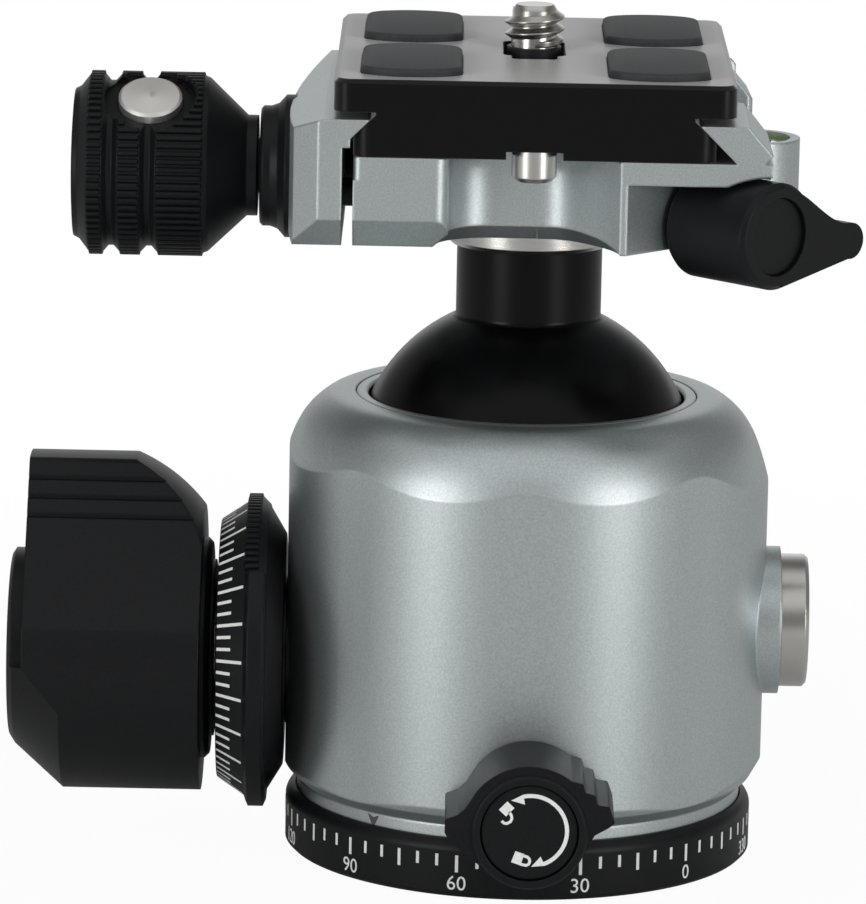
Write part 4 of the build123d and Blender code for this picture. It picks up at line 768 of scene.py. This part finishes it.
class BALLHEAD_OT_pan_knob_sign(bpy.types.Operator):
    """Turning arrow with an open and a closed padlock on the pan knob's cap"""

    bl_idname = "ballhead.pan_knob_sign"
    bl_label = "Pan knob sign"

    def execute(self, context):
        bm = bmesh.new()

        def patch(*points):
            loft(bm, [[(x, y, z) for x, y in points] for z in (-SIGN_HALF, SIGN_HALF)])

        def ribbon(path, width):
            half, thick = width / 2, SIGN_HALF
            corners = ((-half, -thick), (half, -thick), (half, thick), (-half, thick))
            rings = []
            for point, side in sides([Vector(point) for point in path]):
                rings.append([(*(point + side * out), z) for out, z in corners])
            loft(bm, rings)

        def around(radius, degree):
            x, y = SIGN_CENTRE
            return (x + radius * cos(radians(degree)), y + radius * sin(radians(degree)))

        # the arc and its two arrow heads
        ribbon([around(3.77, 102 - n * 169 / 48) for n in range(49)], 0.42)
        patch(around(2.92, 103), around(3.98, 102), around(3.85, 123))
        patch(around(2.92, -68), around(3.98, -67), around(3.82, -88))
        # open padlock
        patch((-2.36, 3.32), (-1.62, 2.62), (-2.46, 1.7), (-3.22, 2.41))
        hook = [(-2.15, 2.2), (-1.93, 1.85), (-1.85, 1.5), (-2.0, 1.15)]
        ribbon(hook + [(-2.35, 0.95), (-2.65, 0.98), (-2.9, 1.22)], 0.3)
        # closed padlock
        patch((-1.41, -1.98), (-1.84, -3.17), (-0.86, -3.51), (-0.5, -2.28))
        hoop = [(-0.6, -2.46), (-0.15, -2.6), (0.03, -2.78), (0.1, -3.08)]
        ribbon(hoop + [(0.0, -3.34), (-0.25, -3.5), (-0.85, -3.38)], 0.3)
        face = frame_of((PAN_KNOB[0], -PAN_CAP_FACE, PAN_KNOB[1]), FRONT)
        bmesh.ops.transform(bm, matrix=face, verts=bm.verts)
        add_piece("pan_knob_sign", bm, "pan_lock", FINISHES["white"])
        return {"FINISHED"}


# ---------------------------------------------------------------- clamp
class BALLHEAD_OT_clamp_front(bpy.types.Operator):
    """Clamp body with a wide round corner in its front recess and a chamfer along its foot"""

    bl_idname = "ballhead.clamp_front"
    bl_label = "Clamp front"

    def execute(self, context):
        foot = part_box("clamp_body")[0].z / MM
        grey = FINISHES["grey"]
        bm = bmesh.new()
        bm.from_mesh(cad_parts["clamp_body"].data)
        bmesh.ops.scale(bm, vec=(1 / MM,) * 3, verts=bm.verts)
        piece = add_piece("clamp_body_milled", bm, "clamp", grey, ("clamp_body",))
        # the solid's own normals would smooth the new chamfers away
        piece.data.attributes.remove(piece.data.attributes["custom_normal"])

        # material in the recess' left corner, with a round inner face that flares at the foot
        bm = bmesh.new()
        centre = Vector((RECESS_CORNER[0] + RECESS_ROUND, RECESS_CORNER[1] - RECESS_ROUND))
        rings = []
        for wider, z in ((RECESS_CHAMFER, foot), (0, foot + RECESS_CHAMFER), (0, RECESS_TOP)):
            reach = RECESS_ROUND + wider
            outer = reach + PAST
            angles = [radians(180 - 90 * n / 16) for n in range(17)]
            ring = [(reach * cos(angle), reach * sin(angle)) for angle in angles]
            ring += [(0, outer), (-outer, outer), (-outer, 0)]
            rings.append([(centre.x + x, centre.y + y, z) for x, y in ring])
        loft(bm, rings)
        carve(piece, bm, "UNION")

        # the chamfer runs on along the curved wall and ends at the front corner
        bm = bmesh.new()
        path = []
        for quad in RECESS_WALL:
            path = path[:-1] + interpolate_bezier(*map(Vector, quad), 15)
        rings = []
        for n, (point, inward) in enumerate(sides(path)):
            size = RECESS_CHAMFER * (1 - (n / (len(path) - 1)) ** 4)
            corners = ((-PAST, size + PAST), (size + PAST, -PAST), (-PAST, -PAST))
            rings.append([(*(point + inward * out), foot + z) for out, z in corners])
        loft(bm, rings)
        carve(piece, bm)
        return {"FINISHED"}


# ---------------------------------------------------------------- screws
class BALLHEAD_OT_camera_screw(bpy.types.Operator):
    """Camera screw with its 1/4 inch thread and slotted head"""

    bl_idname = "ballhead.camera_screw"
    bl_label = "Camera screw"

    def execute(self, context):
        pitch = context.scene.ball_head.camera_pitch / MM
        low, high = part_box("camera_screw")
        foot, top, head = low.z / MM, high.z / MM, high.x / MM
        steel = FINISHES["upright"]
        bm = bmesh.new()
        outline = [
            (0, foot),
            (head - 0.4, foot),
            (head, foot + 0.4),
            (head, foot + 2.7),
            (head - 0.3, foot + 3.0),
            (2.4, foot + 3.0),
            (2.4, top - 0.6),
            (2.0, top),
            (0, top),
        ]
        turn_outline(bm, outline, steps=72)
        old = ("camera_screw",)
        screw = add_piece("camera_screw_threaded", bm, "screw", steel, old)
        bm = bmesh.new()
        block(bm, (2 * head + 1, 1.2, 2.4), Matrix.Translation((0, 0, foot)))
        carve(screw, bm)

        # the thread starts at the front, just above the washer's neck
        bm = bmesh.new()
        start = PLATE_TOP + 0.66
        turns = (top - 0.7 - start) / pitch
        helix(bm, (2.36, 3.16), (1.24, 0.16), start, turns, pitch, begin=-pi / 2)
        add_piece("camera_screw_thread", bm, "screw", steel)
        return {"FINISHED"}


class BALLHEAD_OT_tripod_insert(bpy.types.Operator):
    """Threaded insert under the base, and the base's socket screws"""

    bl_idname = "ballhead.tripod_insert"
    bl_label = "Tripod thread and base screws"

    def execute(self, context):
        pitch = context.scene.ball_head.tripod_pitch / MM
        steel = FINISHES["upright"]
        bm = bmesh.new()
        helix(bm, (4.75, 3.97), (1.56, 0.2), 1.1, 5.0, pitch)
        outline = [
            (5.1, 0),
            (7.5, 0),
            (7.8, 0.3),
            (7.8, 1.58),
            (6.5, 1.6),
            (6.5, 10.9),
            (0, 10.9),
            (0, 9.5),
            (4.6, 9.5),
            (4.6, 0.5),
            (5.1, 0),
        ]
        turn_outline(bm, outline)
        add_piece("tripod_thread_insert", bm, "base", steel, ("thread_insert",))

        bm = bmesh.new()
        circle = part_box("base_screws")[1].x / MM - BASE_SCREW
        angles = [radians(10 * n) for n in range(36)]
        hexagon = [BASE_SOCKET / cos(angle % (pi / 3) - pi / 6) for angle in angles]
        rim, head = [BASE_SCREW - 0.2] * len(angles), [BASE_SCREW] * len(angles)
        # from the floor of the hexagon socket out over the rim and up to the top of the head
        levels = ((1.22, hexagon), (0.02, hexagon), (0.02, rim), (0.22, head), (1.98, head))
        for n in range(3):
            turn = Matrix.Rotation(2 * pi * n / 3, 4, "Z")
            x, y, _ = turn @ Vector((circle, 0, 0))
            rings = []
            for z, radii in levels:
                rings.append([(x + r * cos(a), y + r * sin(a), z) for r, a in zip(radii, angles)])
            loft(bm, rings)
            bmesh.ops.create_cone(
                bm,
                cap_ends=True,
                segments=len(angles),
                radius1=BASE_SHANK,
                radius2=BASE_SHANK,
                depth=12.0,
                matrix=turn @ Matrix.Translation((circle, 0, 7.5)),
            )
        add_piece("base_socket_screws", bm, "base", steel, ("base_screws",))
        return {"FINISHED"}


# ---------------------------------------------------------------- level and pads
class BALLHEAD_OT_level(bpy.types.Operator):
    """Round spirit level: fluid, bubble and the ring that it is read against"""

    bl_idname = "ballhead.level"
    bl_label = "Spirit level"

    def execute(self, context):
        x, y = LEVEL
        low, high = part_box("level_vial")
        foot, top = low.z / MM, high.z / MM
        # clear acrylic over yellow-green spirit: saturated and glossy
        fluid = material(
            "yellow_green_spirit",
            {"Roughness": 0.08, "Coat Weight": 1.0, "Coat Roughness": 0.03},
            lambda t: speckle(t, context.scene.ball_head.spirit, 3.0, 0.1, 0.0, 0.1, (x, y, top)),
        )
        bm = bmesh.new()
        dome = [(4.4, top - 0.5), (4.1, top - 0.25), (2.5, top - 0.08), (0, top - 0.02)]
        turn_outline(bm, [(0, foot), (4.4, foot), *dome], (x, y, 0), steps=64)
        add_piece("level_vial_fluid", bm, "clamp", fluid, ("level_vial",))

        # the air bubble under the lens is paler than the spirit
        air = material(
            "pale_air_bubble",
            {"Roughness": 0.1, "Coat Weight": 1.0, "Coat Roughness": 0.03},
            lambda t: speckle(t, linear("C9D6A4"), 1.5, 0.05, 0.0, 0.05, (x, y, top)),
        )
        bm = bmesh.new()
        lens = [(0, top - 0.4), (1.4, top - 0.3), (1.55, top - 0.12), (1.3, top - 0.02), (0, top)]
        turn_outline(bm, lens, (x - 0.2, y + 0.1, 0), steps=48)
        add_piece("level_bubble", bm, "clamp", air)

        bm = bmesh.new()
        ring = [(2.1, top - 0.3), (2.1, top), (2.32, top), (2.32, top - 0.3), (2.1, top - 0.3)]
        turn_outline(bm, ring, (x, y, 0), steps=48)
        add_piece("level_circle", bm, "clamp", FINISHES["black"])
        return {"FINISHED"}


class BALLHEAD_OT_pads(bpy.types.Operator):
    """Four crowned rubber pads on the plate"""

    bl_idname = "ballhead.pads"
    bl_label = "Rubber pads"

    def execute(self, context):
        low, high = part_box("plate_pads")
        foot, top = low.z / MM, high.z / MM - 0.06
        outline = barrel(half_x=5.25, half_y=9.85, bulge=2.0, corner=2.9)
        bm = bmesh.new()
        for x in (-PAD_PLACE[0], PAD_PLACE[0]):
            for y in (-PAD_PLACE[1], PAD_PLACE[1]):
                lid = loft(bm, [[(x + px, y + py, z) for px, py in outline] for z in (foot, top)])
                bmesh.ops.bevel(
                    bm,
                    geom=lid.edges,
                    offset=0.4,
                    offset_type="OFFSET",
                    segments=4,
                    profile=0.5,
                    affect="EDGES",
                    material=-1,
                )
        finish = FINISHES["rubber"]
        add_piece("plate_rubber_pads", bm, "plate", finish, ("plate_pads",), sharp=40)
        return {"FINISHED"}


# ---------------------------------------------------------------- stage
class BALLHEAD_OT_stage(bpy.types.Operator):
    """Camera, floor, two soft boxes and the white surroundings"""

    bl_idname = "ballhead.stage"
    bl_label = "Stage"

    def execute(self, context):
        scene = context.scene
        scene.view_settings.view_transform = "Standard"
        camera_data = bpy.data.cameras.new("camera")
        camera_data.lens = 263.5
        camera_data.sensor_width = 36
        camera_data.clip_end = 20
        camera = bpy.data.objects.new("camera", camera_data)
        right = Vector((0.99979381, 0.00600476, 0.0193982))
        upward = Vector((-0.02021274, 0.20267169, 0.97903812))
        turn = Matrix((right, upward, right.cross(upward))).transposed().to_4x4()
        camera.matrix_world = Matrix.Translation((-0.00855839, -0.70041, 0.18843)) @ turn
        scene.collection.objects.link(camera)
        scene.camera = camera

        for name, side in (("left", -1), ("right", 1)):
            lamp = bpy.data.lights.new("soft_box_" + name, "AREA")
            lamp.shape = "RECTANGLE"
            lamp.size = 0.22
            lamp.size_y = 0.5
            lamp.energy = 1.85
            box = bpy.data.objects.new("soft_box_" + name, lamp)
            way = Vector((side * sin(radians(45)), -cos(radians(45)), 0.06))
            box.matrix_world = frame_of(Vector((0, 0, 0.04)) + way * 0.62, way)
            scene.collection.objects.link(box)

        floor_mesh = bpy.data.meshes.new("floor")
        bm = bmesh.new()
        bmesh.ops.create_circle(bm, cap_ends=True, segments=64, radius=4.0)
        bm.to_mesh(floor_mesh)
        bm.free()
        floor = bpy.data.objects.new("floor", floor_mesh)
        scene.collection.objects.link(floor)
        # matt white board; it fades into the white surroundings away from the object
        board = bpy.data.materials.new("white_board")
        board.use_nodes = True
        tree = board.node_tree
        tree.nodes.clear()
        place = add_node(tree, "TexCoord").outputs["Object"]
        away = add_node(tree, "VectorMath", {"operation": "LENGTH"}, {0: place}).outputs["Value"]
        smooth = {"interpolation_type": "SMOOTHSTEP"}
        ends = {"From Min": 0.05, "From Max": 0.25, "To Min": 0.96, "To Max": 1.0}
        fade = add_node(tree, "MapRange", smooth, {"Value": away, **ends}).outputs[0]
        ray = add_node(tree, "LightPath").outputs["Is Camera Ray"]
        seen = add_node(tree, "Math", {"operation": "MULTIPLY"}, {0: ray, 1: fade}).outputs[0]
        matt = add_node(tree, "BsdfDiffuse", None, {"Color": linear("E9E9E8")}).outputs[0]
        glow = add_node(tree, "Emission", None, {"Color": (1, 1, 1, 1), "Strength": 1.0}).outputs[0]
        mixed = add_node(tree, "MixShader", None, {0: seen, 1: matt, 2: glow}).outputs[0]
        add_node(tree, "OutputMaterial", None, {"Surface": mixed})
        floor_mesh.materials.append(board)

        world = bpy.data.worlds.new("surroundings")
        scene.world = world
        world.use_nodes = True
        tree = world.node_tree
        tree.nodes.clear()
        path = add_node(tree, "LightPath").outputs
        place = add_node(tree, "TexCoord").outputs["Generated"]
        axes = add_node(tree, "SeparateXYZ", None, {0: place}).outputs
        aside = add_node(tree, "Math", {"operation": "ABSOLUTE"}, {0: axes["X"]}).outputs[0]
        values = {"seen": path["Is Camera Ray"], "through": path["Is Transmission Ray"]}
        # smooth steps over the directions: axis, from and to, and the values before and after
        for name, along, start, end, before, after in (
            # reflections see a white sweep behind and low down, and a darker room above and in
            # front
            ("height", axes["Z"], 0.2, 0.8, 1.0, 0.14),
            ("back", axes["Y"], -0.7, 0.5, 0.22, 1.0),
            # and darker flags to both sides, above the horizon
            ("flag", aside, 0.12, 0.5, 0.0, 0.7),
            ("above", axes["Z"], 0.0, 0.12, 0.0, 1.0),
            # a wide soft light overhead, a little in front
            ("top", axes["Z"], 0.2, 0.7, 0.0, 0.8),
            ("forward", axes["Y"], 0.1, 0.6, 1.0, 0.0),
            ("middle", aside, 0.55, 0.95, 1.0, 0.0),
        ):
            ends = {"From Min": start, "From Max": end, "To Min": before, "To Max": after}
            values[name] = add_node(tree, "MapRange", smooth, {"Value": along, **ends}).outputs[0]
        # and how they are put together
        for name, operation, first, second in (
            ("sweep", "MULTIPLY", "height", "back"),
            ("flags", "MULTIPLY", "flag", "above"),
            ("clear", "SUBTRACT", 1.0, "flags"),
            ("room", "MULTIPLY", "sweep", "clear"),
            ("strip", "MULTIPLY", "top", "forward"),
            ("overhead", "MULTIPLY", "strip", "middle"),
            ("indoors", "MAXIMUM", "room", "overhead"),
            ("open", "MAXIMUM", "seen", "through"),
        ):
            inputs = {0: values.get(first, first), 1: values.get(second, second)}
            values[name] = add_node(tree, "Math", {"operation": operation}, inputs).outputs[0]
        # matt surfaces get an even grey light, and the camera sees plain white
        kind = {"data_type": "FLOAT"}
        inputs = {0: path["Is Glossy Ray"], 2: 0.5, 3: values["indoors"]}
        light = add_node(tree, "Mix", kind, inputs).outputs[0]
        level = add_node(tree, "Mix", kind, {0: values["open"], 2: light, 3: 1.0}).outputs[0]
        sky = add_node(tree, "Background", None, {"Color": (1, 1, 1, 1), "Strength": level})
        add_node(tree, "OutputWorld", None, {"Surface": sky.outputs[0]})
        return {"FINISHED"}


OPERATORS = (
    BALLHEAD_OT_finishes,
    BALLHEAD_OT_pan_marks,
    BALLHEAD_OT_friction_marks,
    BALLHEAD_OT_clamp_ribs,
    BALLHEAD_OT_clamp_front,
    BALLHEAD_OT_pan_knob_sign,
    BALLHEAD_OT_camera_screw,
    BALLHEAD_OT_tripod_insert,
    BALLHEAD_OT_level,
    BALLHEAD_OT_pads,
    BALLHEAD_OT_stage,
)


class BALLHEAD_PT_panel(bpy.types.Panel):
    """Lists the ball head's pieces and sizes"""

    bl_idname = "BALLHEAD_PT_panel"
    bl_label = "Ball head"
    bl_space_type = "VIEW_3D"
    bl_region_type = "UI"
    bl_category = "Ball head"

    def draw(self, context):
        sizes = context.scene.ball_head
        for name in sizes.bl_rna.properties.keys():
            if name not in ("rna_type", "name"):
                self.layout.prop(sizes, name)
        for operator in OPERATORS:
            self.layout.operator(operator.bl_idname)


CLASSES = (BallHeadSettings, *OPERATORS, BALLHEAD_PT_panel)


def register():
    for cls in CLASSES:
        bpy.utils.register_class(cls)
    bpy.types.Scene.ball_head = PointerProperty(type=BallHeadSettings)


def unregister():
    del bpy.types.Scene.ball_head
    for cls in reversed(CLASSES):
        bpy.utils.unregister_class(cls)


def main():
    register()
    for operator in OPERATORS:
        group, name = operator.bl_idname.split(".")
        getattr(getattr(bpy.ops, group), name)()


if __name__ == "__main__":
    main()
